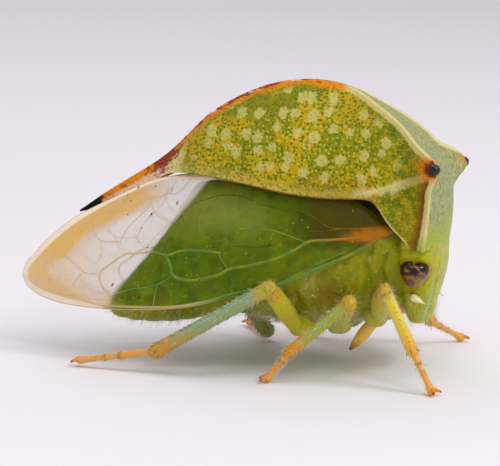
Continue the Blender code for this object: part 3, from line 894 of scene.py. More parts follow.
class NodeGroup:
    """A geometry tree with named inputs, run on a mesh and turned into a plain one."""

    def __init__(self, name: str, inputs: dict[str, str]) -> None:
        """Starts a tree.

        Args:
            name: The tree's name.
            inputs: Its inputs' names, with their socket types.
        """
        self.tree = bpy.data.node_groups.new(name, "GeometryNodeTree")
        self.keys = {}
        faces = self.tree.interface
        faces.new_socket("Geometry", in_out="INPUT", socket_type="NodeSocketGeometry")
        for key, kind in inputs.items():
            self.keys[key] = faces.new_socket(key, in_out="INPUT", socket_type=kind).identifier
        faces.new_socket("Geometry", in_out="OUTPUT", socket_type="NodeSocketGeometry")
        self.source = self.tree.nodes.new("NodeGroupInput")
        self.result = self.tree.nodes.new("NodeGroupOutput")

    def add(self, kind: str, settings: dict, inputs: dict) -> bpy.types.Node:
        """Adds a node with its settings, and links or sets its inputs."""
        made = self.tree.nodes.new(kind)
        for key, value in settings.items():
            setattr(made, key, value)
        for key, value in inputs.items():
            if isinstance(value, bpy.types.NodeSocket):
                self.tree.links.new(value, made.inputs[key])
            else:
                made.inputs[key].default_value = value
        return made

    def read(self, name: str, kind: str) -> bpy.types.NodeSocket:
        """Reads a named attribute."""
        return self.add("GeometryNodeInputNamedAttribute", {"data_type": kind}, {"Name": name}).outputs[0]

    def end(self, geometry: bpy.types.NodeSocket) -> None:
        """Realizes instances, sets the material and closes the tree."""
        real = self.add("GeometryNodeRealizeInstances", {}, {"Geometry": geometry})
        dressed = self.add("GeometryNodeSetMaterial", {}, {"Geometry": real.outputs[0],
                                                           "Material": self.source.outputs["Material"]})
        self.tree.links.new(dressed.outputs[0], self.result.inputs[0])

    def run(self, guide: bpy.types.Object, values: dict[str, object]) -> bpy.types.Object:
        """Runs the tree on a guide mesh.

        Args:
            guide: The object that the tree reads, which is replaced.
            values: The inputs, by name.

        Returns:
            A new object with the plain mesh and the guide's name.
        """
        step = guide.modifiers.new("grow", "NODES")
        step.node_group = self.tree
        for key, value in values.items():
            step[self.keys[key]] = value
        guide.update_tag()
        bpy.context.view_layer.update()
        shown = guide.evaluated_get(bpy.context.evaluated_depsgraph_get())
        mesh = bpy.data.meshes.new_from_object(shown)
        name = guide.name
        bpy.data.objects.remove(guide, do_unlink=True)
        mesh.name = name
        return linked(name, mesh)


def line_tree() -> NodeGroup:
    """Builds the tree that turns chains of edges into round cords, each as thick as its gauge."""
    group = NodeGroup("cords_along_lines", {"Material": "NodeSocketMaterial", "Sides": "NodeSocketInt"})
    line = group.add("GeometryNodeMeshToCurve", {}, {"Mesh": group.source.outputs["Geometry"]})
    ring = group.add("GeometryNodeCurvePrimitiveCircle", {}, {"Resolution": group.source.outputs["Sides"],
                                                              "Radius": 1.0})
    tube = group.add("GeometryNodeCurveToMesh", {}, {
        "Curve": line.outputs[0], "Profile Curve": ring.outputs[0], "Fill Caps": True,
        "Scale": group.read("gauge", "FLOAT")})
    smooth = group.add("GeometryNodeSetShadeSmooth", {}, {"Geometry": tube.outputs[0]})
    group.end(smooth.outputs[0])
    return group


def growth_tree() -> NodeGroup:
    """Builds the tree that stands a small shape on each guide point, turned and sized by its attributes."""
    group = NodeGroup("growth_on_points", {"Material": "NodeSocketMaterial", "Shape": "NodeSocketObject"})
    way, bend, size, root_lay, local = (group.read(name, "FLOAT_VECTOR")
                                        for name in ("way", "bend", "size", "root", "local"))
    shape = group.add("GeometryNodeObjectInfo", {"transform_space": "ORIGINAL"},
                      {"Object": group.source.outputs["Shape"]})
    turn = group.add("FunctionNodeAlignRotationToVector", {"axis": "Z"}, {"Vector": way})
    roll = group.add("FunctionNodeAlignRotationToVector", {"axis": "X", "pivot_axis": "Z"},
                     {"Rotation": turn.outputs[0], "Vector": bend})
    grown = group.add("GeometryNodeInstanceOnPoints", {}, {
        "Points": group.source.outputs["Geometry"], "Instance": shape.outputs["Geometry"],
        "Rotation": roll.outputs[0], "Scale": size})
    real = group.add("GeometryNodeRealizeInstances", {}, {"Geometry": grown.outputs[0]})
    smooth = group.add("GeometryNodeSetShadeSmooth", {}, {"Geometry": real.outputs[0]})
    root, reach = (group.add("ShaderNodeSeparateXYZ", {}, {0: value}) for value in (root_lay, local))
    spread = {axis: group.add("ShaderNodeMath", {"operation": "MULTIPLY_ADD"},
                              {0: reach.outputs[axis], 1: COAT_PATCH, 2: root.outputs[axis]}).outputs[0]
              for axis in (0, 1)}
    lay = group.add("ShaderNodeCombineXYZ", {}, spread)
    stored = group.add("GeometryNodeStoreNamedAttribute", {"data_type": "FLOAT2", "domain": "CORNER"},
                       {"Geometry": smooth.outputs[0], "Name": "OFBake", "Value": lay.outputs[0]})
    group.end(stored.outputs[0])
    return group


def hair_shape(name: str, sides: int, steps: int, bend: float, blunt: float = 0.08) -> bpy.types.Object:
    """Makes one tapering, bent bristle of unit length and width, as the shape that growth repeats.

    Args:
        name: The shape's name.
        sides: Points round it.
        steps: Stretches along it.
        bend: How far its tip leans over.
        blunt: Its tip's width, of its root's.

    Returns:
        The shape, which is removed after use.
    """
    part = np.linspace(0.0, 1.0, steps + 1)[:, None]
    turns = round_steps(sides)
    width = 1.0 + (blunt - 1.0) * part
    grid = np.stack([np.cos(turns) * width + bend * part ** 2, np.sin(turns) * width,
                     np.repeat(part, sides, axis=1)], axis=-1)
    made = build_piece(name, [Surface(name, grid)])
    mesh = made.data
    mesh.uv_layers.remove(mesh.uv_layers["Lay"])
    spots = np.empty(len(mesh.vertices) * 3, np.float32)
    mesh.vertices.foreach_get("co", spots)
    x, y, z = spots.reshape(-1, 3).T
    write_field(mesh, "local", np.column_stack([np.arctan2(y, x) / (2 * math.pi), z - 0.5, np.zeros_like(z)]))
    write_field(mesh, "reach", z)
    return made


@dataclass
class Growth:
    """Many small like shapes that grow from a surface: bristles, spines or claws."""

    name: str
    shoots: list = field(default_factory=list)

    def add(self, root: Points, way: Points, width: float, length: float,
            lay: Sequence[float] = (0.5, 0.5), bend: Sequence[float] | None = None) -> None:
        """Adds one shape.

        Args:
            root: Its root, in metres.
            way: The way it points.
            width: Its width, in millimetres.
            length: Its length, in millimetres.
            lay: Its place on the skin's own lay.
            bend: The side to which its tip leans.
        """
        self.shoots.append((root, way, way if bend is None else bend,
                            (width * MM, width * MM, length * MM), (*lay, 0.0)))

    def build(self, group: NodeGroup, shape: bpy.types.Object,
              material: bpy.types.Material) -> bpy.types.Object:
        """Runs the growth tree on all the roots and returns the plain mesh."""
        table = np.array(self.shoots, np.float32)
        mesh = bpy.data.meshes.new(self.name)
        mesh.from_pydata(table[:, 0].tolist(), [], [])
        for column, key in enumerate(("way", "bend", "size", "root"), 1):
            write_field(mesh, key, table[:, column])
        return group.run(linked(self.name, mesh), {"Material": material, "Shape": shape})


def outward(grid: Points) -> Points:
    """Gives the normals of a closed grid, all facing away from its middle line."""
    normals = grid_normals(grid, True)
    middle = grid.mean(axis=1, keepdims=True)
    return normals * np.sign((normals * (grid - middle)).sum())


def scatter(surface: Surface, count: int, seed: int,
            keep: Callable[[Points], Points]) -> list[tuple[Points, Points, tuple[float, float]]]:
    """Draws places on a surface's grid.

    Args:
        surface: The surface, in metres.
        count: How many places are drawn.
        seed: The draw's seed.
        keep: Gives how dense they are at each grid point.

    Returns:
        Root, normal and lay of each place.
    """
    draw = np.random.default_rng(seed)
    grid, normals = surface.grid, outward(surface.grid)
    rows, columns = grid.shape[:2]
    areas = np.linalg.norm(np.cross(np.gradient(grid, axis=0), np.gradient(grid, axis=1)), axis=-1)
    weight = (areas * keep(grid)).ravel()
    found = []
    for pick in draw.choice(rows * columns, size=count, p=weight / weight.sum()):
        row, column = divmod(int(pick), columns)
        down, aside = np.abs(draw.uniform(-0.5, 0.5, 2))
        root = grid[row, column] * (1 - down) + grid[min(row + 1, rows - 1), column] * down
        root = root * (1 - aside) + grid[row, (column + 1) % columns] * aside
        found.append((root, normals[row, column], (0.05 + 0.9 * row / rows, 0.05 + 0.9 * column / columns)))
    return found


SHIELD_STATIONS = [
    ((-3.94, 3.190), (-3.94, 0.010, 3.185), (-3.93, 0.02, 3.15), 0.0),
    ((-3.72, 3.350), (-3.72, 0.030, 3.340), (-3.70, 0.07, 3.21), 0.0),
    ((-3.30, 3.650), (-3.30, 0.045, 3.635), (-3.25, 0.15, 3.37), 0.0),
    ((-2.70, 4.030), (-2.70, 0.055, 4.010), (-2.62, 0.26, 3.66), 0.01),
    ((-2.15, 4.390), (-2.15, 0.060, 4.370), (-2.05, 0.40, 3.98), 0.02),
    ((-1.75, 4.720), (-1.75, 0.070, 4.700), (-1.65, 0.62, 4.13), 0.04),
    ((-0.90, 5.540), (-0.90, 0.100, 5.510), (-0.95, 1.02, 4.13), 0.16),
    ((0.20, 6.110), (0.20, 0.120, 6.080), (0.10, 1.32, 3.97), 0.24),
    ((1.20, 6.292), (1.15, 0.140, 6.265), (1.05, 1.50, 3.81), 0.26),
    ((2.10, 6.180), (2.08, 0.160, 6.150), (1.85, 1.59, 3.74), 0.22),
    ((2.84, 5.800), (2.78, 0.660, 5.820), (2.45, 1.65, 3.75), 0.16),
    ((3.52, 5.280), (3.49, 1.220, 5.350), (2.90, 1.69, 3.74), 0.08),
    ((4.02, 4.760), (3.96, 1.660, 4.860), (3.12, 1.73, 3.58), 0.0),
    ((4.32, 4.360), (4.17, 1.900, 4.520), (3.26, 1.74, 3.38), 0.0),
    ((4.42, 3.900), (4.23, 1.900, 3.950), (3.42, 1.73, 3.18), 0.0),
    ((4.45, 3.360), (4.19, 1.860, 3.380), (3.60, 1.70, 3.00), 0.0),
    ((4.39, 2.760), (4.09, 1.700, 2.690), (3.86, 1.64, 2.73), 0.0),
]


@dataclass
class Shield:
    """The horned shield and its rear spine, one skin."""

    rings: int = 300
    top_steps: int = 34
    side_steps: int = 72
    under_steps: int = 8
    under_lift: float = 0.10
    horn_tip: tuple = (4.45, 2.5, 4.48)
    horn_way: tuple = (0.42, 0.90, -0.05)
    horn_top: float = 0.49
    horn_reach: float = 0.60
    horn_root: float = 0.15
    horn_point: float = 0.124
    horn_spread: float = 0.62
    stripe: tuple = ((4.10, 1.86, 4.40), (3.72, 1.78, 4.16), (3.20, 1.75, 3.99), (2.60, 1.70, 3.90))
    stripe_rise: float = 0.02
    rim_rise: float = 0.035
    far: float = 9.0

    def half(self) -> Points:
        """Joins keel, ridge and edge lines into half rings, keel first, without relief."""
        places = np.linspace(0.0, len(SHIELD_STATIONS) - 1.0, self.rings)
        rows = [(*keel, *ridge, *edge, swell) for keel, ridge, edge, swell in SHIELD_STATIONS]
        columns = glide(rows, places).T[:, :, None]
        keel_x, keel_z, ridge_x, ridge_y, ridge_z, edge_x, edge_y, edge_z, swell = columns
        part = np.linspace(0.0, 1.0, self.top_steps + 1)[None, :]
        top = np.stack([keel_x + (ridge_x - keel_x) * part ** 2, ridge_y * part,
                        keel_z + (ridge_z - keel_z) * part ** 2], axis=-1)
        part = np.linspace(0.0, 1.0, self.side_steps + 1)[None, 1:]
        side = np.stack([ridge_x + (edge_x - ridge_x) * part,
                         ridge_y + (edge_y - ridge_y) * part + swell * np.sin(math.pi * part),
                         ridge_z + (edge_z - ridge_z) * part], axis=-1)
        return np.concatenate([top, side], axis=1)

    def surface(self) -> Surface:
        """Builds the skin's grid and the numbers that its finish reads."""
        half = self.half()
        steps = np.linalg.norm(np.diff(half, axis=1), axis=-1)
        arc = np.concatenate([np.zeros((self.rings, 1)), np.cumsum(steps, axis=1)], axis=1)
        ridge = np.abs(arc - arc[:, self.top_steps, None])
        edge = arc[:, -1:] - arc
        peak = ease(half[..., 0], 1.9, 2.3)
        on_top = np.arange(half.shape[1]) < self.top_steps
        front = on_top * peak * ease(ridge, 0.0, 0.05)
        stripe = route_distance(half, self.stripe)
        fields = {
            "keel": arc,
            "ridge": np.where(peak > 0, ridge, self.far),
            "edge": edge,
            "stripe": stripe,
            "front": front,
            "along": np.where(front > 0.5, np.maximum(half[..., 0], 2.3), half[..., 0]),
            "depth": arc / np.maximum(arc[:, -1:], 1e-6),
            "cheek": (1.0 - ease(half[..., 2], 4.1, 4.4)) * ease(half[..., 0], 3.6, 3.8),
        }
        normals = grid_normals(half, False)
        normals *= np.sign(normals[:, self.top_steps + 8:, 1].mean())
        bead = (bell(ridge / 0.07) * peak + 0.5 * bell(edge / 0.05)) * self.rim_rise
        half = half + normals * bead[..., None]
        bead = self.stripe_rise * bell(stripe / 0.12) * ease(half[..., 0], 2.4, 3.0)
        half = half + normals * bead[..., None]
        root, way = self.horn_axis(1.0)
        out = (half - root) @ way
        off = np.linalg.norm(half - root - out[..., None] * way, axis=-1)
        near = (1.0 - ease(off, 0.04, self.horn_spread)) * ease(out, -self.horn_reach, -0.25)
        half = half + way * (near * np.clip(self.horn_top - out, 0.0, None))[..., None]
        fields["horn"] = np.where(out > -self.horn_reach, off, self.far)
        part = np.linspace(0.0, 1.0, self.under_steps + 2)[None, 1:-1]
        x, y, z = half[:, -1].T[:, :, None]
        under = np.stack([np.repeat(x, self.under_steps, axis=1), y * (1 - part),
                          z + self.under_lift * np.sin(math.pi * part / 2) * y], axis=-1)
        full = self.whole(np.concatenate([half, under], axis=1), mirrored(-1.0))
        values = {key: self.whole(np.concatenate([value, np.repeat(value[:, -1:], self.under_steps, axis=1)],
                                                 axis=1)) for key, value in fields.items()}
        return Surface("shield_skin", on_body(full), values)

    @staticmethod
    def whole(half: Points, flip: float | Points = 1.0) -> Points:
        """Joins a half ring, keel first, or its numbers, with the mirror image into a whole ring."""
        return np.concatenate([half, half[:, 1:][:, ::-1] * flip], axis=1)

    def horn_axis(self, sign: float) -> tuple[Points, Points]:
        """Gives the root's middle and the direction of a horn."""
        way = unit(np.array(self.horn_way) * mirrored(sign))
        return np.array(self.horn_tip) * mirrored(sign) - way * self.horn_reach, way

    def horn(self, side: str) -> Surface:
        """Builds one horn: a blunt cone, polished at the tip."""
        root, way = self.horn_axis(SIDES[side])
        part = np.linspace(-0.25, 1.0, 26)
        middle = root + np.outer(part, way) * (self.horn_reach - self.horn_point * 0.9)
        radii = self.horn_point + (self.horn_root - self.horn_point) * (1 - ease(part, -0.3, 0.8))
        grid = tube_grid(middle, radii, sides=40)
        return Surface("horn_" + side, on_body(grid), {"reach": ((grid - root) @ way) / self.horn_reach})

    def build(self) -> Pieces:
        """Builds the skin and both horns."""
        skin = build_piece("shield_skin", [self.surface()], ShieldFinish().material())
        finish = HornFinish().material()
        horns = [(build_piece("horn_tip_" + side, [self.horn(side)], finish), ["horn_" + side], "horn")
                 for side in SIDES]
        return [(skin, ["pronotum", "pronotum_spine"], "shield"), *horns]


@dataclass
class Trunk:
    """Thorax and abdomen, one skin with its segments."""

    stations: tuple = (
        (3.80, 1.70, 2.90, 0.72, 1.34), (3.58, 1.48, 3.24, 1.00, 1.60), (3.25, 1.30, 3.52, 1.20, 1.68),
        (2.86, 1.16, 3.66, 1.38, 1.58), (2.30, 1.02, 3.72, 1.46, 1.44), (1.60, 0.95, 3.80, 1.46, 1.36),
        (0.95, 0.98, 3.85, 1.44, 1.28), (0.40, 1.02, 3.92, 1.44, 1.18), (-0.20, 1.05, 4.00, 1.44, 1.02),
        (-0.90, 0.92, 3.98, 1.38, 0.80), (-1.20, 0.87, 3.90, 1.34, 0.74), (-1.50, 0.82, 3.50, 1.28, 0.68),
        (-1.85, 0.78, 2.90, 1.17, 0.64), (-2.24, 0.765, 2.34, 1.00, 0.60), (-2.70, 0.79, 1.82, 0.76, 0.50),
        (-3.02, 0.86, 1.52, 0.48, 0.32), (-3.16, 0.96, 1.30, 0.16, 0.13))
    rings: int = 260
    sides: int = 150
    segment: float = 0.42
    segment_dent: float = 0.045
    plate: float = 0.85
    plate_dent: float = 0.07
    neck: tuple = (3.88, 2.28)
    hollow: tuple = (2.02, 1.66, 0.44, 0.32)
    boss: tuple = (1.62, 1.90, 0.20, 0.22)
    blue_spot: tuple = (3.22, 2.98, 0.14, 0.06)
    amber_spot: tuple = (3.15, 1.95, 0.16, 0.14)
    seams: tuple = (
        ((3.05, 2.95), (2.84, 2.45), (2.90, 1.95), (2.74, 1.50)), ((2.50, 2.62), (2.30, 2.10),
                     (2.42, 1.60)),
        ((1.95, 2.30), (1.78, 1.95), (1.90, 1.40)), ((3.30, 2.60), (3.16, 2.20), (3.30, 1.70)))

    def surface(self) -> Surface:
        """Builds the skin's grid."""
        places = np.linspace(0.0, len(self.stations) - 1.0, self.rings)
        x, low, high, low_width, high_width = glide(self.stations, places).T[:, :, None]
        turns = round_steps(self.sides)[None, :]
        rise = 0.5 + 0.5 * fuller(-np.cos(turns), 0.75)
        y = (low_width + (high_width - low_width) * rise) * fuller(np.sin(turns), 0.8)
        z = low + (high - low) * rise
        x = np.broadcast_to(x, z.shape)
        behind, ahead = 1.0 - ease(x, 0.3, 0.9), ease(x, 0.9, 1.3)
        dent = (1.0 - np.abs(np.sin(math.pi * (x - 0.2) / self.segment)) ** 0.35) * self.segment_dent * behind
        plates = 1.0 - np.abs(np.sin(math.pi * (x + 0.25 * z) / self.plate)) ** 0.3
        plates = plates * self.plate_dent * ahead * (1 - ease(z, 2.4, 3.0))
        swell = 0.05 * np.sin(4.1 * x + 2.0 * z) * np.sin(2.7 * z + 1.3 * np.abs(y))
        swell = swell + 0.018 * np.sin(9.0 * x + 4.0 * z) * np.sin(8.0 * z - 3.0 * x)
        swell = swell + 0.016 * np.sin(6.0 * x + 11.0 * z + 1.0) * np.sin(13.0 * x - 5.0 * z + 2.0)
        ring = np.hypot(x - self.neck[0], z - self.neck[1])
        folds = (bell((ring - 0.68) / 0.06) + 0.7 * bell((ring - 0.98) / 0.07)) * ease(x, 2.5, 2.9)
        hollow, boss = bump_at(x, z, self.hollow), bump_at(x, z, self.boss)
        seam = np.min([route_distance(np.stack([x, z], axis=-1), route) for route in self.seams], axis=0)
        creases = folds + bell(seam / 0.045)
        relief = swell * ahead - dent - plates
        relief = relief - 0.03 * creases - 0.08 * hollow + 0.05 * boss + 0.02 * bell((seam - 0.13) / 0.06)
        away = unit(np.stack([np.zeros_like(x), y, z - (low + high) / 2], axis=-1))
        grid = np.stack([x, y, z], axis=-1) + away * relief[..., None]
        fields = {
            # Painted shade: dents between segments and creases are darker, and the abdomen is darkest at mid
            # height, less so towards its top.
            "shade": behind * (0.30 + 0.35 * ease(z, 1.0, 1.7) - 0.35 * ease(z, 2.2, 3.2)) + dent / 0.25
            + creases * 0.22,
            # Painted light: the upper abdomen, in the shield's shadow, is painted paler; the belly and the
            # boss are paler too.
            "pale": (1 - ease(z, 0.95, 1.30)) * ahead * 0.9 + (1 - ease(z, 0.7, 0.95)) * behind * 0.3
            + boss * 0.55 + behind * 0.95 * ease(z, 2.5, 3.6),
            "blue": 0.8 * bump_at(x, z, self.blue_spot),
            "amber": hollow + 0.6 * bump_at(x, z, self.amber_spot),
        }
        return Surface("body_skin", on_body(grid), fields)

    def build(self) -> Pieces:
        """Builds the skin."""
        self.skin = self.surface()
        finish = SkinFinish("body_cuticle", srgb(150, 152, 0), srgb(92, 122, 0), srgb(206, 202, 110),
                            amber=srgb(134, 104, 0))
        return [(build_piece("body_skin", [self.skin], finish.material()), ["thorax", "abdomen"], "body")]


@dataclass
class Head:
    """The wedge of a head, its eyes, feelers and beak."""

    stations: tuple = (
        (1.01, 3.93, 3.70, 0.18), (1.07, 4.01, 3.62, 0.34), (1.27, 4.11, 3.55, 0.56),
                     (1.60, 4.21, 3.48, 0.88),
        (1.90, 4.30, 3.42, 1.16), (2.20, 4.36, 3.37, 1.36), (2.50, 4.39, 3.33, 1.49),
                     (2.80, 4.38, 3.34, 1.54),
        (3.00, 4.34, 3.46, 1.50))
    eye: tuple = (3.89, 1.34, 2.22)
    eye_size: tuple = (0.315, 0.32, 0.30)
    eye_rows: int = 60
    eye_columns: int = 80
    rings: int = 170
    sides: int = 180
    lobe: tuple = (0.0, 1.32, 0.28, 0.22)
    cheek: tuple = (0.95, 1.75, 0.30, 0.25)
    brow_spot: tuple = (0.60, 2.04, 0.07, 0.08)
    cheek_spot: tuple = (1.10, 1.66, 0.07, 0.05)
    feeler_route: tuple = (
        (3.82, 1.06, 1.68, 0.060), (3.87, 1.17, 1.66, 0.078), (3.96, 1.24, 1.63, 0.062),
        (4.07, 1.28, 1.58, 0.024), (4.13, 1.30, 1.55, 0.008), (4.18, 1.32, 1.50, 0.005))
    beak_route: tuple = (
        (3.76, 0.0, 1.26, 0.10), (3.45, 0.0, 1.30, 0.11), (3.15, 0.0, 1.22, 0.11), (2.86, 0.0, 1.00, 0.12),
        (2.62, 0.0, 0.72, 0.14), (2.42, 0.0, 0.46, 0.09), (2.33, 0.0, 0.36, 0.035))

    def surface(self) -> Surface:
        """Builds the head's grid, with the face's grooves, the mouth's lobe and a rim round each eye."""
        places = np.linspace(0.0, len(self.stations) - 1.0, self.rings)
        z, front, rear, half_width = glide(self.stations, places).T[:, :, None]
        turns = round_steps(self.sides)[None, :]
        along, across = np.cos(turns), np.sin(turns)
        middle, reach = (front + rear) / 2, (front - rear) / 2
        x = middle + reach * fuller(along, np.where(along > 0, 0.6, 0.8))
        y = half_width * fuller(across, 0.85)
        z = np.broadcast_to(z, x.shape)
        away = unit(np.stack([x - middle, y * 0.6, np.zeros_like(x)], axis=-1))
        ahead, side = ease(along, 0.1, 0.5), np.abs(y)
        beside_groove = side - 0.30 - 0.55 * (z - 1.2)
        groove = bell(beside_groove / 0.05) * ahead * (1 - ease(z, 2.1, 2.4))
        eye_x, eye_side, eye_z = self.eye
        spread = np.hypot(x - eye_x, z - eye_z) / self.eye_outline(np.arctan2(z - eye_z, x - eye_x))
        collar = bell((spread - 1.06) / 0.11) * ease(side, eye_side - 0.45, eye_side - 0.2)
        outer = bell((spread - 1.75) / 0.16) * ease(side, 0.5, 0.9) * ease(z, 1.5, 1.8)
        relief = (0.03 * collar + 0.05 * bump_at(side, z, self.lobe) * ahead - 0.04 * groove
                  + 0.05 * bump_at(side, z, self.cheek) - 0.03 * outer)
        grid = np.stack([x, y, z], axis=-1) + away * relief[..., None]
        spots = bump_at(side, z, self.brow_spot) * ahead
        spots = spots + bump_at(side, z, self.cheek_spot) * ease(along, 0.2, 0.4)
        fields = {
            # Painted shade: the face's groove and the dent round each eye are darker; the brow and cheek
            # spots are dark marks.
            "shade": groove * 0.5 + spots + outer * 0.3,
            "pale": ahead * (1 - ease(side, 0.3, 1.2)) * 0.25 + ease(groove, 0.3, 0.9) * 0.3 + outer * 0.2,
            # Painted highlight: a bluish streak along the ledge beside the face's groove.
            "blue": bell((beside_groove - 0.12) / 0.07) * ahead * (1 - ease(z, 1.8, 2.1)) * 0.9,
            "amber": collar * 0.8 + spots * 1.2,
        }
        return Surface("head_skin", on_body(grid), fields)

    def eye_outline(self, way: Points) -> Points:
        """Gives the eye's radius in each direction: a triangle with round corners."""
        return self.eye_size[0] * (1.0 + 0.09 * np.cos(3 * (way - math.radians(27))))

    def eye_surface(self, sign: float) -> Surface:
        """Builds one eye as a rounded dome."""
        turn = round_steps(self.eye_columns)[None, :]
        lift = np.linspace(-0.9, math.pi / 2 - 0.02, self.eye_rows)[:, None] + np.zeros_like(turn)
        radius = self.eye_outline(turn) * np.cos(lift)
        x = self.eye[0] + radius * np.cos(turn)
        y = self.eye[1] + self.eye_size[1] * np.sin(lift)
        z = self.eye[2] + radius * np.sin(turn) * 0.96
        fields = {"rim": 1.0 - ease(lift, -0.10, 0.03), "socket": 1.0 - ease(lift, -0.36, -0.26),
                  "high": ease(z, self.eye[2] - 0.3, self.eye[2] + 0.3)}
        return Surface("eye", on_body(np.stack([x, y * sign, z], axis=-1)), fields)

    def build(self) -> Pieces:
        """Builds the head and what it carries."""
        self.skin = self.surface()
        finish = SkinFinish("head_cuticle", srgb(174, 178, 0), srgb(108, 126, 0), srgb(206, 204, 84),
                            srgb(150, 196, 140), srgb(170, 116, 10))
        made = [(build_piece("head_skin", [self.skin], finish.material()), ["head"], "head")]
        glass = EyeFinish().material()
        drop = PlainFinish("feeler_cuticle", srgb(250, 248, 206), srgb(80, 62, 20),
                           turn=(0.66, 0.85)).material()
        for side, sign in SIDES.items():
            eye = build_piece("eye_dome_" + side, [self.eye_surface(sign)], glass)
            cone = tapered("feeler", self.feeler_route, steps=30, sides=16, sign=sign)
            feeler = build_piece("feeler_" + side, [cone], drop)
            made += [(eye, ["eye_" + side], "eye"), (feeler, ["antenna_" + side], "feeler")]
        sheath = PlainFinish("beak_cuticle", srgb(255, 208, 96), srgb(90, 34, 8),
                             turn=(0.70, 0.98)).material()
        cone = tapered("beak", self.beak_route, steps=50, sides=24, flat=0.9)
        beak = build_piece("beak_sheath", [cone], sheath)
        return made + [(beak, ["beak"], "beak")]


@dataclass(frozen=True)
class Vein:
    """One vein: its thickness, its kind and its route on the wing, as (x, z)."""

    gauge: float
    route: tuple
    dark: float = 0.0


@dataclass
class Wings:
    """The two glassy forewings with their veins."""

    stations: tuple = (
        (3.48, 3.05, 3.09, 1.34, 1.33), (3.28, 2.95, 3.28, 1.44, 1.41), (2.10, 2.48, 3.95, 1.61, 1.42),
        (1.05, 1.93, 3.98, 1.67, 1.33), (0.00, 1.56, 4.05, 1.66, 1.15), (-1.00, 1.28, 4.10, 1.53, 0.86),
        (-2.00, 1.14, 3.99, 1.27, 0.50),
        (-3.00, 1.085, 3.55, 0.98, 0.34), (-4.00, 1.12, 3.02, 0.68, 0.28), (-4.60, 1.24, 2.52, 0.50, 0.27),
        (-4.89, 1.37, 2.20, 0.41, 0.27), (-5.06, 1.50, 2.00, 0.35, 0.27), (-5.135, 1.63, 1.84, 0.30, 0.27))
    columns: int = 190
    rows: int = 72
    thickness: float = 0.02
    crown: float = 0.12
    double_from: float = 0.020
    slimmer: float = 0.95
    side_line: float = 0.4
    rim_gauge: float = 0.016
    rim_root: float = 2.6
    vein_step: float = 0.05
    vein_sides: int = 8
    veins: tuple = (
        Vein(0.030, ((3.16, 2.97), (2.70, 2.67), (2.18, 2.39), (1.66, 2.15), (1.29, 1.98), (0.87, 1.83),
                     (0.06, 1.62),
                     (-0.49, 1.44), (-0.80, 1.36), (-1.25, 1.26), (-1.86, 1.19), (-2.49, 1.16),
                     (-2.93, 1.15))),
        Vein(0.028, ((3.16, 3.12), (2.69, 2.95), (2.17, 2.88), (1.72, 2.84), (1.56, 2.78), (1.25, 2.58),
                     (0.85, 2.39),
                     (0.31, 2.23), (-0.10, 2.15), (-0.37, 2.00), (-0.79, 1.88), (-1.10, 1.84),
                     (-1.44, 1.92),
                     (-1.51, 2.12), (-1.64, 2.35))),
        Vein(0.018, ((1.56, 2.80), (1.09, 2.95), (0.67, 3.04), (0.12, 3.02), (-0.17, 3.08), (-0.60, 3.11),
                     (-0.89, 3.12))),
        Vein(0.010, ((0.89, 2.71), (0.42, 2.64), (0.01, 2.64), (-0.32, 2.50), (-0.80, 2.40),
                     (-1.19, 2.33), (-1.52, 2.30)),
             1.0),
        Vein(0.016, ((-0.32, 2.50), (-0.37, 2.42), (-0.19, 2.18))),
        Vein(0.013, ((3.16, 3.16), (2.32, 3.12), (2.02, 3.16), (1.74, 3.33), (1.46, 3.44), (1.27, 3.49))),
        Vein(0.012, ((2.32, 3.11), (1.89, 3.05), (1.57, 3.03))),
        Vein(0.010, ((1.16, 3.43), (0.77, 3.51), (0.43, 3.58), (0.14, 3.69), (-0.37, 3.72),
                     (-0.93, 3.56)), 1.0),
        Vein(0.018, ((-1.44, 1.91), (-1.77, 1.71), (-2.11, 1.61), (-2.42, 1.56), (-2.94, 1.38))),
        Vein(0.014, ((-1.80, 1.69), (-1.85, 1.46), (-1.88, 1.17))),
        Vein(0.020, ((-0.36, 2.47), (-0.87, 2.50), (-1.30, 2.46), (-1.64, 2.35), (-1.96, 2.40),
                     (-2.36, 2.34),
                     (-2.64, 2.31), (-2.97, 2.08), (-3.22, 1.86), (-3.16, 1.59), (-2.94, 1.38),
                     (-2.92, 1.12))),
        Vein(0.018, ((-2.92, 1.12), (-3.41, 1.19), (-3.84, 1.33), (-4.16, 1.35), (-4.42, 1.55),
                     (-4.53, 1.79),
                     (-4.63, 1.96))),
        Vein(0.016, ((-4.63, 1.96), (-4.19, 2.20), (-3.85, 2.02), (-3.58, 1.84), (-3.23, 1.84))),
        Vein(0.014, ((-4.19, 2.20), (-4.09, 2.43), (-3.88, 2.61), (-3.55, 2.78), (-3.41, 2.67),
                     (-3.27, 2.51),
                     (-3.22, 2.26), (-3.30, 2.09))),
        Vein(0.016, ((-3.55, 2.78), (-3.51, 2.92), (-3.35, 3.12), (-3.06, 3.36), (-2.73, 3.52),
                     (-2.39, 3.60),
                     (-2.13, 3.58))),
        Vein(0.014, ((-2.13, 3.55), (-2.19, 3.35), (-2.39, 3.15), (-2.64, 2.88), (-2.77, 2.62),
                     (-2.80, 2.57),
                     (-2.64, 2.31))),
        Vein(0.014, ((-2.80, 2.57), (-3.08, 2.55), (-3.27, 2.57), (-3.46, 2.75))),
        Vein(0.014, ((-3.67, 1.81), (-3.85, 1.60), (-3.84, 1.33))),
        Vein(0.010, ((-3.58, 1.82), (-3.62, 1.51), (-3.54, 1.27))),
        Vein(0.014, ((-2.13, 3.58), (-2.08, 3.33), (-1.92, 3.19), (-1.62, 3.10))),
        Vein(0.016, ((-2.13, 3.59), (-1.85, 3.62), (-1.70, 3.78), (-1.54, 3.96))),
        Vein(0.011, ((-2.14, 2.34), (-2.11, 2.53), (-1.87, 2.80), (-1.58, 3.09), (-1.38, 3.29),
                     (-1.09, 3.49),
                     (-0.73, 3.63)), 0.7),
    )

    def bulge(self, low_y: Points, high_y: Points, across: Points) -> Points:
        """Gives how far out the wing stands: crowned between its two long edges."""
        return low_y + (high_y - low_y) * across + self.crown * 4 * across * (1 - across)

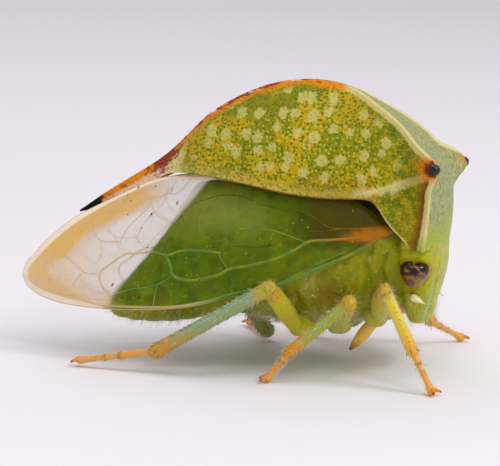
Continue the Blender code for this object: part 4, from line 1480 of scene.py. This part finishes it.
    def leaf(self) -> tuple[Points, Points]:
        """Gives the middle face's grid on the left side, and the outline's stations for lookups."""
        part = np.linspace(0.0, 1.0, self.columns)
        places = (1.0 - (1.0 - part) ** 1.15) * (len(self.stations) - 1.0)
        table = glide(self.stations, places)
        x, low, high, low_y, high_y = table.T[:, :, None]
        across = np.linspace(0.0, 1.0, self.rows)[None, :]
        z = low + (high - low) * across
        return np.stack([np.broadcast_to(x, z.shape), self.bulge(low_y, high_y, across), z], axis=-1), table

    def fields(self, grid: Points) -> dict[str, Points]:
        """Gives the numbers that membrane and veins read at points of the wing."""
        table = self.leaf()[1]
        rim = np.concatenate([table[:, [0, 1]], table[::-1][:, [0, 2]]])
        flat = grid[..., [0, 2]]
        edge = route_distance(flat, rim)
        x, z = flat[..., 0], flat[..., 1]
        upper = ease(z + 0.35 * (x + 4.0), 1.7, 2.4)
        reach = 0.12 + 0.20 * upper + 0.35 * (1.0 - ease(x, -4.7, -3.5))
        amber = 1.0 - ease(x, -3.1 + 0.5 * upper, -2.4 + 0.9 * upper)
        amber = amber * (1.0 - ease(edge, reach, reach + 0.34))
        return {
            "edge": edge,
            "bare": 1.0 - ease(x + 0.79 * (3.0 - z), -1.76, -1.40),
            "amber": amber * (0.65 + 0.35 * upper),
            "tip": 1.0 - ease(x, -4.3, -2.9),
            "base": ease(x, 0.0, 3.3) * ease(z, 2.5, 3.1),
            "glow": bell((x - 2.9) / 0.55, (z - 3.02 + 0.18 * (3.0 - x)) / 0.16),
        }

    def membrane(self, sign: float) -> Surface:
        """Builds one wing as a thin closed leaf."""
        grid = self.leaf()[0]
        normals = grid_normals(grid, False)
        normals *= np.sign(normals[..., 1].mean()) * self.thickness / 2
        ring = np.concatenate([grid + normals, (grid - normals)[:, ::-1]], axis=1)
        values = {key: np.concatenate([value, value[:, ::-1]], axis=1)
                  for key, value in self.fields(grid).items()}
        return Surface("wing", on_body(ring * mirrored(sign)), values)

    def on_wing(self, x: Points, z: Points) -> Points:
        """Finds the points of the wing's middle face at given x and z."""
        table = self.leaf()[1]
        order = np.argsort(table[:, 0])
        low, high, low_y, high_y = (np.interp(x, table[order, 0], table[order, k]) for k in (1, 2, 3, 4))
        across = np.clip((z - low) / np.maximum(high - low, 1e-6), 0.0, 1.0)
        return np.stack([x, self.bulge(low_y, high_y, across), z], axis=-1)

    def vein_runs(self) -> list[tuple[float, Points, float, float]]:
        """Lists gauge, route, darkness and paleness of rim, veins and the lines beside thick veins."""
        table = self.leaf()[1]
        rim = np.concatenate([table[3:, [0, 1]], table[::-1][:, [0, 2]]])[::3]
        runs = [(self.rim_gauge, rim[rim[:, 0] < self.rim_root], 0.0, 0.0)]
        for vein in self.veins:
            route = np.array(vein.route)
            gauge = vein.gauge * self.slimmer
            runs.append((gauge, route, vein.dark, 0.0))
            if vein.gauge >= self.double_from:
                aside = unit(np.gradient(route, axis=0))[:, ::-1] * np.array([-1.0, 1.0]) * gauge
                runs += [(vein.gauge * self.side_line, route + aside * sign, 0.0, 1.0)
                         for sign in SIDES.values()]
        return runs

    def vein_guide(self, name: str, sign: float) -> bpy.types.Object:
        """Draws all veins of one wing as chains of edges with their gauge."""
        points, edges = [], []
        values = {key: [] for key in ("gauge", "bare", "dark", "base", "pale")}
        for gauge, route, dark, pale in self.vein_runs():
            count = max(8, int(np.linalg.norm(np.diff(route, axis=0), axis=1).sum() / self.vein_step))
            smooth = glide(route, np.linspace(0, len(route) - 1.0, count))
            places = self.on_wing(smooth[:, 0], smooth[:, 1])
            numbers = self.fields(places)
            start = len(points)
            points += on_body(places * mirrored(sign)).tolist()
            edges += [(start + k, start + k + 1) for k in range(count - 1)]
            costal = 0.7 * (1.0 - ease(smooth[:, 1], 1.25, 1.60)) * (1.0 - ease(smooth[:, 0], -0.6, 0.4))
            values["gauge"] += list(gauge * (1.0 - 0.25 * np.linspace(0, 1, count)) * MM)
            values["bare"] += list(np.maximum(numbers["bare"], costal))
            values["base"] += list(numbers["base"])
            values["dark"] += list(dark * (1.0 - numbers["bare"]))
            values["pale"] += [pale] * count
        mesh = bpy.data.meshes.new(name)
        mesh.from_pydata(points, edges, [])
        for key, row in values.items():
            write_field(mesh, key, row)
        return linked(name, mesh)

    def build(self, cords: NodeGroup) -> Pieces:
        """Builds both wings and their veins."""
        membrane_finish, vein_finish = WingFinish().material(), VeinFinish().material()
        made = []
        for side, sign in SIDES.items():
            leaf = build_piece("wing_membrane_" + side, [self.membrane(sign)], membrane_finish)
            guide = self.vein_guide("wing_veins_" + side, sign)
            veins = cords.run(guide, {"Material": vein_finish, "Sides": self.vein_sides})
            made += [(piece, ["forewing_" + side], "wing") for piece in (leaf, veins)]
        return made


@dataclass(frozen=True)
class LegBuild:
    """What a pair of legs shares: thicknesses in millimetres, the foot's joints and the spines."""

    thigh: tuple
    shin: tuple
    toes: tuple = ((0.075, 0.095), (0.065, 0.08), (0.065, 0.085))
    marks: tuple = (0.0, 0.30, 0.55, 1.0)
    square: float = 0.85
    spine_columns: tuple = (3, 15)
    spine_count: int = 7
    spine: tuple = (0.014, 0.06)
    spur_step: int = 5


@dataclass(frozen=True)
class LegPlan:
    """One leg: its joints in the floor's frame, in millimetres."""

    name: str
    kind: str
    hip: tuple
    knee: tuple
    ankle: tuple
    foot: tuple
    coxa: tuple


@dataclass
class Legs:
    """The six legs, with their spines, claws and bristles, whose tips stay clear of the floor."""

    clear: float = 0.03
    heel: float = 0.10
    heel_rise: float = 0.06
    sides: int = 24
    steps: int = 26
    coxa: tuple = (0.30, 0.26, 0.18)
    bristles: int = 620
    bristle_shares: tuple = (0.10, 0.20, 0.42, 0.10, 0.08, 0.10)
    bristle_width: float = 0.0042
    bristle_lengths: tuple = (0.07, 0.19)
    spur: tuple = (0.024, 0.12)
    claw: tuple = (0.070, 0.21)
    claw_rise: float = 0.025
    first_seed: int = 11
    builds: dict = field(default_factory=lambda: {
        "front": LegBuild((0.20, 0.27, 0.16), (0.1265, 0.12, 0.13),
                          toes=((0.07, 0.08), (0.06, 0.07), (0.065, 0.10))),
        "middle": LegBuild((0.18, 0.24, 0.20), (0.1495, 0.12, 0.14)),
        "hind": LegBuild((0.17, 0.22, 0.17), (0.16675, 0.15, 0.165), marks=(0.0, 0.46, 0.68, 1.0),
                         square=0.72, spine_columns=(3, 9, 15, 21), spine_count=15, spine=(0.022, 0.10),
                         spur_step=3),
    })
    plans: tuple = (
        LegPlan("front_leg_right", "front", (3.05, -0.92, 1.36), (3.35, -1.88, 2.10), (4.00, -2.18, 0.86),
                (4.45, -2.46, 0.10), (2.96, -0.70, 1.30)),
        LegPlan("front_leg_left", "front", (3.05, 1.02, 1.14), (3.30, 2.06, 1.70), (3.80, 1.96, 0.56),
                (4.42, 2.44, 0.10), (2.96, 0.78, 1.12)),
        LegPlan("middle_leg_right", "middle", (2.10, -0.95, 1.06), (2.57, -1.88, 1.78), (1.28, -2.00, 0.66),
                (0.84, -2.12, 0.10), (2.16, -0.70, 1.10)),
        LegPlan("middle_leg_left", "middle", (2.10, 1.06, 0.86), (2.55, 2.10, 1.46), (1.40, 2.06, 0.50),
                (0.92, 2.26, 0.10), (2.16, 0.78, 0.92)),
        LegPlan("hind_leg_right", "hind", (1.30, -1.12, 1.00), (0.86, -2.08, 2.08), (-1.74, -1.78, 0.48),
                (-3.50, -1.60, 0.14), (1.36, -0.80, 1.06)),
        LegPlan("hind_leg_left", "hind", (1.25, 1.24, 0.76), (-1.18, 2.08, 1.56), (0.06, 1.66, 0.22),
                (-0.62, 2.90, 0.10), (1.34, 0.88, 0.90)),
    )
    finishes: dict = field(default_factory=lambda: {
        "front": LegFinish("front_leg_cuticle", srgb(186, 184, 60), srgb(240, 208, 40), srgb(242, 176, 46),
                           srgb(190, 214, 96), srgb(242, 170, 60)),
        "middle": LegFinish("middle_leg_cuticle", srgb(170, 182, 78), srgb(168, 172, 44), srgb(214, 148, 26),
                            srgb(132, 184, 134), srgb(240, 158, 48)),
        "hind_leg_left": LegFinish("far_hind_leg_cuticle", srgb(188, 184, 30), srgb(160, 172, 92),
                                   srgb(158, 168, 90), srgb(180, 190, 120), srgb(226, 130, 40)),
        "hind": LegFinish("hind_leg_cuticle", srgb(188, 184, 30), srgb(152, 168, 108), srgb(204, 152, 54),
                          srgb(128, 190, 178), srgb(230, 164, 70)),
    })

    def limb_surface(self, start: Points, end: Points, radii: Sequence[float], span: tuple[float, float],
                     flat: float = 1.0, square: float = 1.0) -> Surface:
        """Builds one stretch of a leg.

        Args:
            start: Its first joint.
            end: Its last joint.
            radii: Thicknesses, evenly spread along it.
            span: What the leg's own measure reads at its two ends.
            flat: Width over height.
            square: 1 is round and smaller is squarer.

        Returns:
            The surface, in metres.
        """
        part = np.linspace(0, 1, self.steps)
        route = np.array(start, float) + np.outer(part, np.array(end, float) - np.array(start, float))
        thick = glide([(radius,) for radius in radii], part * (len(radii) - 1))[:, 0]
        grid = tube_grid(route, thick, self.sides, flat, square)
        caps = len(DOME_TURNS)
        limb = np.interp(np.arange(len(grid)), [caps, len(grid) - 1 - caps], span)
        fields = {"limb": np.repeat(limb[:, None], self.sides, axis=1),
                  "turn": np.repeat((np.arange(self.sides) / self.sides)[None, :], len(grid), axis=0)}
        return Surface("limb", on_floor(grid), fields)

    def surfaces(self, plan: LegPlan) -> list[Surface]:
        """Builds all stretches of one leg: hip, thigh, shin and a foot in three joints."""
        knee, ankle, foot = (np.array(spot, float) for spot in (plan.knee, plan.ankle, plan.foot))
        build = self.builds[plan.kind]
        made = [
            self.limb_surface(plan.coxa, plan.hip, self.coxa, (Limb.COXA, Limb.THIGH)),
            self.limb_surface(plan.hip, knee, build.thigh, (Limb.THIGH, Limb.SHIN), flat=0.85),
            self.limb_surface(knee, ankle, build.shin, (Limb.SHIN, Limb.FOOT), flat=0.9, square=build.square),
        ]
        for index, (thin, thick) in enumerate(build.toes):
            low, high = build.marks[index:index + 2]
            start, end = ankle + (foot - ankle) * low, ankle + (foot - ankle) * high
            start[2] = max(start[2], self.heel + self.heel_rise * (1 - low))
            span = (Limb.FOOT + index / 3, Limb.FOOT + (index + 1) / 3)
            made.append(self.limb_surface(start, end, (thin, thin, thick), span))
        return made

    def foot_claws(self, plan: LegPlan, claws: Growth) -> None:
        """Adds the two hooked claws of one foot."""
        ahead = unit((np.array(plan.foot) - np.array(plan.ankle)) * np.array([1.0, 1.0, 0.0]))
        aside = np.array([-ahead[1], ahead[0], 0.0])
        root = on_floor(np.array(plan.foot) + np.array([0.0, 0.0, self.claw_rise]))
        for sign in SIDES.values():
            way = unit(ahead * 0.8 + aside * sign * 0.6 + np.array([0.0, 0.0, 0.1]))
            claws.add(root, way, *self.claw, bend=(0.0, 0.0, -1.0))

    def grow(self, plan: LegPlan, surfaces: list[Surface], hairs: Growth, spines: Growth, seed: int) -> None:
        """Sets bristles on every stretch and, on shins, rows of spines and the spurs at their ends.

        Args:
            plan: The leg.
            surfaces: Its stretches.
            hairs: Takes the bristles.
            spines: Takes spines and spurs.
            seed: The seed of the draws.
        """
        draw = np.random.default_rng(seed)
        for surface, share in zip(surfaces, self.bristle_shares):
            way = unit(surface.grid[-1].mean(axis=0) - surface.grid[0].mean(axis=0))
            for root, normal, lay in scatter(surface, int(self.bristles * share), seed,
                                             lambda grid: np.ones(grid.shape[:2])):
                lean = unit(normal * 0.7 + way * 0.85 + draw.normal(0, 0.12, 3))
                length = draw.uniform(*self.bristle_lengths)
                if root[2] / MM + lean[2] * length > self.clear:
                    hairs.add(root - normal * 0.005 * MM, lean, self.bristle_width, length, lay)
        build = self.builds[plan.kind]
        down = unit(np.array(plan.ankle) - np.array(plan.knee))
        shin = surfaces[Limb.SHIN].grid
        normals = outward(shin)
        for column in build.spine_columns:
            for k in range(build.spine_count):
                row = int(5 + (len(shin) - 10) * (k + draw.uniform(0.2, 0.8)) / build.spine_count)
                normal = normals[row, column]
                lean = unit(normal * 0.8 + down * 0.6)
                spines.add(shin[row, column] - normal * 0.01 * MM, lean, *build.spine)
        end = len(shin) - 5
        for column in range(0, self.sides, build.spur_step):
            normal = normals[end, column]
            spines.add(shin[end, column] - normal * 0.02 * MM, unit(normal * 0.45 + down), *self.spur)

    def build(self, growth: NodeGroup, bristle: bpy.types.Object, hook: bpy.types.Object,
              hair_finish: bpy.types.Material) -> Pieces:
        """Builds each leg's skin, and its bristles, spines and claws as joined meshes.

        Args:
            growth: The tree that repeats a shape.
            bristle: The shape of bristles and spines.
            hook: The shape of claws.
            hair_finish: The bristles' material.

        Returns:
            The pieces with their nodes and slots.
        """
        claw = PlainFinish("claw_horn", srgb(228, 142, 34), srgb(150, 66, 14), turn=(0.7, 1.0), rough=0.17)
        spine = PlainFinish("spine_horn", srgb(170, 150, 80), srgb(50, 28, 14), turn=(0.45, 0.8), rough=0.22)
        claw, spine = claw.material(), spine.material()
        made = []
        finishes = {kind: finish.material() for kind, finish in self.finishes.items()}
        for index, plan in enumerate(self.plans):
            surfaces = self.surfaces(plan)
            skin = build_piece(plan.name + "_skin", surfaces, finishes.get(plan.name, finishes[plan.kind]))
            hairs, spines, claws = (Growth(plan.name + end) for end in ("_bristles", "_spines", "_claws"))
            self.grow(plan, surfaces, hairs, spines, self.first_seed + index)
            self.foot_claws(plan, claws)
            grown = [kind.build(growth, shape, finish) for kind, shape, finish in (
                (hairs, bristle, hair_finish), (spines, bristle, spine), (claws, hook, claw))]
            made += [(piece, [plan.name], "leg") for piece in (skin, *grown)]
        return made


@dataclass(frozen=True)
class Coat:
    """One patch of fine hairs, with sizes in millimetres."""

    name: str
    count: int
    seed: int
    dense: Callable[[Points], Points]
    stand: float
    comb: tuple
    tangle: float
    width: float
    lengths: tuple

    def grow(self, skin: Surface, draw: np.random.Generator) -> Growth:
        """Scatters the hairs on a skin."""
        hairs = Growth(self.name)
        for root, normal, lay in scatter(skin, self.count, self.seed, self.dense):
            lean = unit(normal * self.stand + np.array(self.comb) + draw.normal(0, self.tangle, 3))
            hairs.add(root - normal * 0.01 * MM, lean, self.width, draw.uniform(*self.lengths), lay)
        return hairs


def belly_share(grid: Points) -> Points:
    """Gives how dense the trunk's hairs are: thick between the legs, thin under the abdomen."""
    return (1.0 - ease(grid[..., 2] / MM, 1.0, 1.6)) * (0.10 + 0.90 * ease(grid[..., 0] / MM, 0.3, 1.0))


def mouth_share(grid: Points) -> Points:
    """Gives how dense the head's hairs are: thick round the mouth."""
    return 1.0 - ease(grid[..., 2] / MM, 1.2, 1.9)


@dataclass
class Fuzz:
    """The fine hairs of belly, chest and mouth."""

    seed: int = 5
    belly: Coat = Coat("belly_hairs", count=4200, seed=3, dense=belly_share, stand=1.0,
                       comb=(-0.7, 0.0, -0.1), tangle=0.15, width=0.004, lengths=(0.10, 0.22))
    mouth: Coat = Coat("mouth_hairs", count=420, seed=4, dense=mouth_share, stand=0.6,
                       comb=(0.1, 0.0, -1.0), tangle=0.2, width=0.0035, lengths=(0.08, 0.20))

    def build(self, trunk: Trunk, head: Head, growth: NodeGroup, bristle: bpy.types.Object,
              finish: bpy.types.Material) -> Pieces:
        """Scatters the hairs and grows them.

        Args:
            trunk: The trunk, built before.
            head: The head, built before.
            growth: The tree that repeats a shape.
            bristle: The shape of a hair.
            finish: The hairs' material.

        Returns:
            The pieces with their nodes and slots.
        """
        draw = np.random.default_rng(self.seed)
        coats = (
            (self.belly, trunk.skin, ["thorax", "abdomen"], "body"),
            (self.mouth, head.skin, ["head"], "head"))
        return [(coat.grow(skin, draw).build(growth, bristle, finish), nodes, slot)
                for coat, skin, nodes, slot in coats]


@dataclass(frozen=True)
class Lamp:
    """One square soft light, aimed at the insect, with place and size in millimetres."""

    name: str
    spot: tuple
    size: float
    power: float
    colour: tuple = (1.0, 1.0, 1.0)

    def build(self) -> None:
        """Hangs the light."""
        data = bpy.data.lights.new(self.name, "AREA")
        data.shape = "SQUARE"
        data.size = self.size * MM
        data.energy = self.power
        data.color = self.colour
        lamp = linked(self.name, data)
        lamp.location = Vector(self.spot) * MM
        aim = Vector((0.0, 0.0, 3.0)) * MM - lamp.location
        lamp.rotation_euler = aim.to_track_quat("-Z", "Y").to_euler()


@dataclass
class Studio:
    """Floor, camera and lights."""

    distance: float = 60.0
    azimuth: float = 11.9
    elevation: float = 11.5
    target: tuple = (0.0, 0.0, 2.84)
    pixels_per_mm: float = 45.0
    picture_width: int = 500
    sensor: float = 36.0
    floor_radius: float = 0.6
    floor_level: float = -0.00001
    room: tuple = srgb(226, 222, 228)
    room_light: float = 0.70
    lamps: tuple = (
        Lamp("overhead", (4.0, -8.0, 90.0), size=60.0, power=0.017),
        Lamp("spark", (62.0, -10.0, 74.0), size=34.0, power=0.016),
        Lamp("glint", (60.0, -12.0, 72.0), size=15.0, power=0.009),
        Lamp("key", (44.0, -52.0, 62.0), size=22.0, power=0.011, colour=(1.0, 0.99, 0.97)),
        Lamp("back", (-40.0, 60.0, 70.0), size=50.0, power=0.010))

    def camera(self) -> None:
        """Places the camera where the photo was taken from."""
        turn, rise = math.radians(self.azimuth), math.radians(self.elevation)
        back = Vector((math.sin(turn) * math.cos(rise), -math.cos(turn) * math.cos(rise), math.sin(rise)))
        data = bpy.data.cameras.new("camera")
        data.sensor_fit = "HORIZONTAL"
        data.sensor_width = self.sensor
        data.lens = self.sensor * self.pixels_per_mm * self.distance / self.picture_width
        data.clip_start = 0.002
        data.clip_end = 3.0
        camera = linked("camera", data)
        camera.location = Vector(on_floor(self.target)) + back * self.distance * MM
        camera.rotation_euler = back.to_track_quat("Z", "Y").to_euler()
        bpy.context.scene.camera = camera

    def floor(self) -> None:
        """Makes the floor, a wide plain disc."""
        bpy.ops.mesh.primitive_circle_add(vertices=96, radius=self.floor_radius, fill_type="NGON",
                                          location=(0, 0, self.floor_level))
        floor = bpy.context.object
        floor.name = "pale_floor"
        floor.data.materials.append(FloorFinish().material())

    def build(self) -> None:
        """Sets up the whole studio."""
        self.camera()
        self.floor()
        for lamp in self.lamps:
            lamp.build()
        world = bpy.data.worlds.new("pale_room")
        world.use_nodes = True
        background = world.node_tree.nodes["Background"].inputs
        background["Color"].default_value = (*self.room, 1.0)
        background["Strength"].default_value = self.room_light
        bpy.context.scene.world = world
        bpy.context.scene.view_settings.view_transform = "Standard"


def main() -> None:
    """Builds every part, ties it to the frame and reports it."""
    logging.basicConfig(level=logging.INFO, format="%(message)s")
    Studio().build()
    cords, growth = line_tree(), growth_tree()
    bristle = hair_shape("bristle_shape", sides=4, steps=3, bend=0.0)
    hook = hair_shape("hook_shape", sides=10, steps=6, bend=0.9, blunt=0.35)
    hair_finish = PlainFinish("hair", srgb(232, 226, 204), srgb(190, 178, 140), turn=(0.4, 0.9),
                              rough=0.32).material()
    head, trunk = Head(), Trunk()
    made = Shield().build() + trunk.build() + head.build() + Wings().build(cords)
    made += Legs().build(growth, bristle, hook, hair_finish)
    made += Fuzz().build(trunk, head, growth, bristle, hair_finish)
    for shape in (bristle, hook):
        bpy.data.objects.remove(shape, do_unlink=True)
    for piece, nodes, slot in made:
        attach(piece, "root")
        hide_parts(*nodes)
        log.info("%s: %d faces, stands for %s", piece.name, len(piece.data.polygons), ", ".join(nodes))


if __name__ == "__main__":
    main()
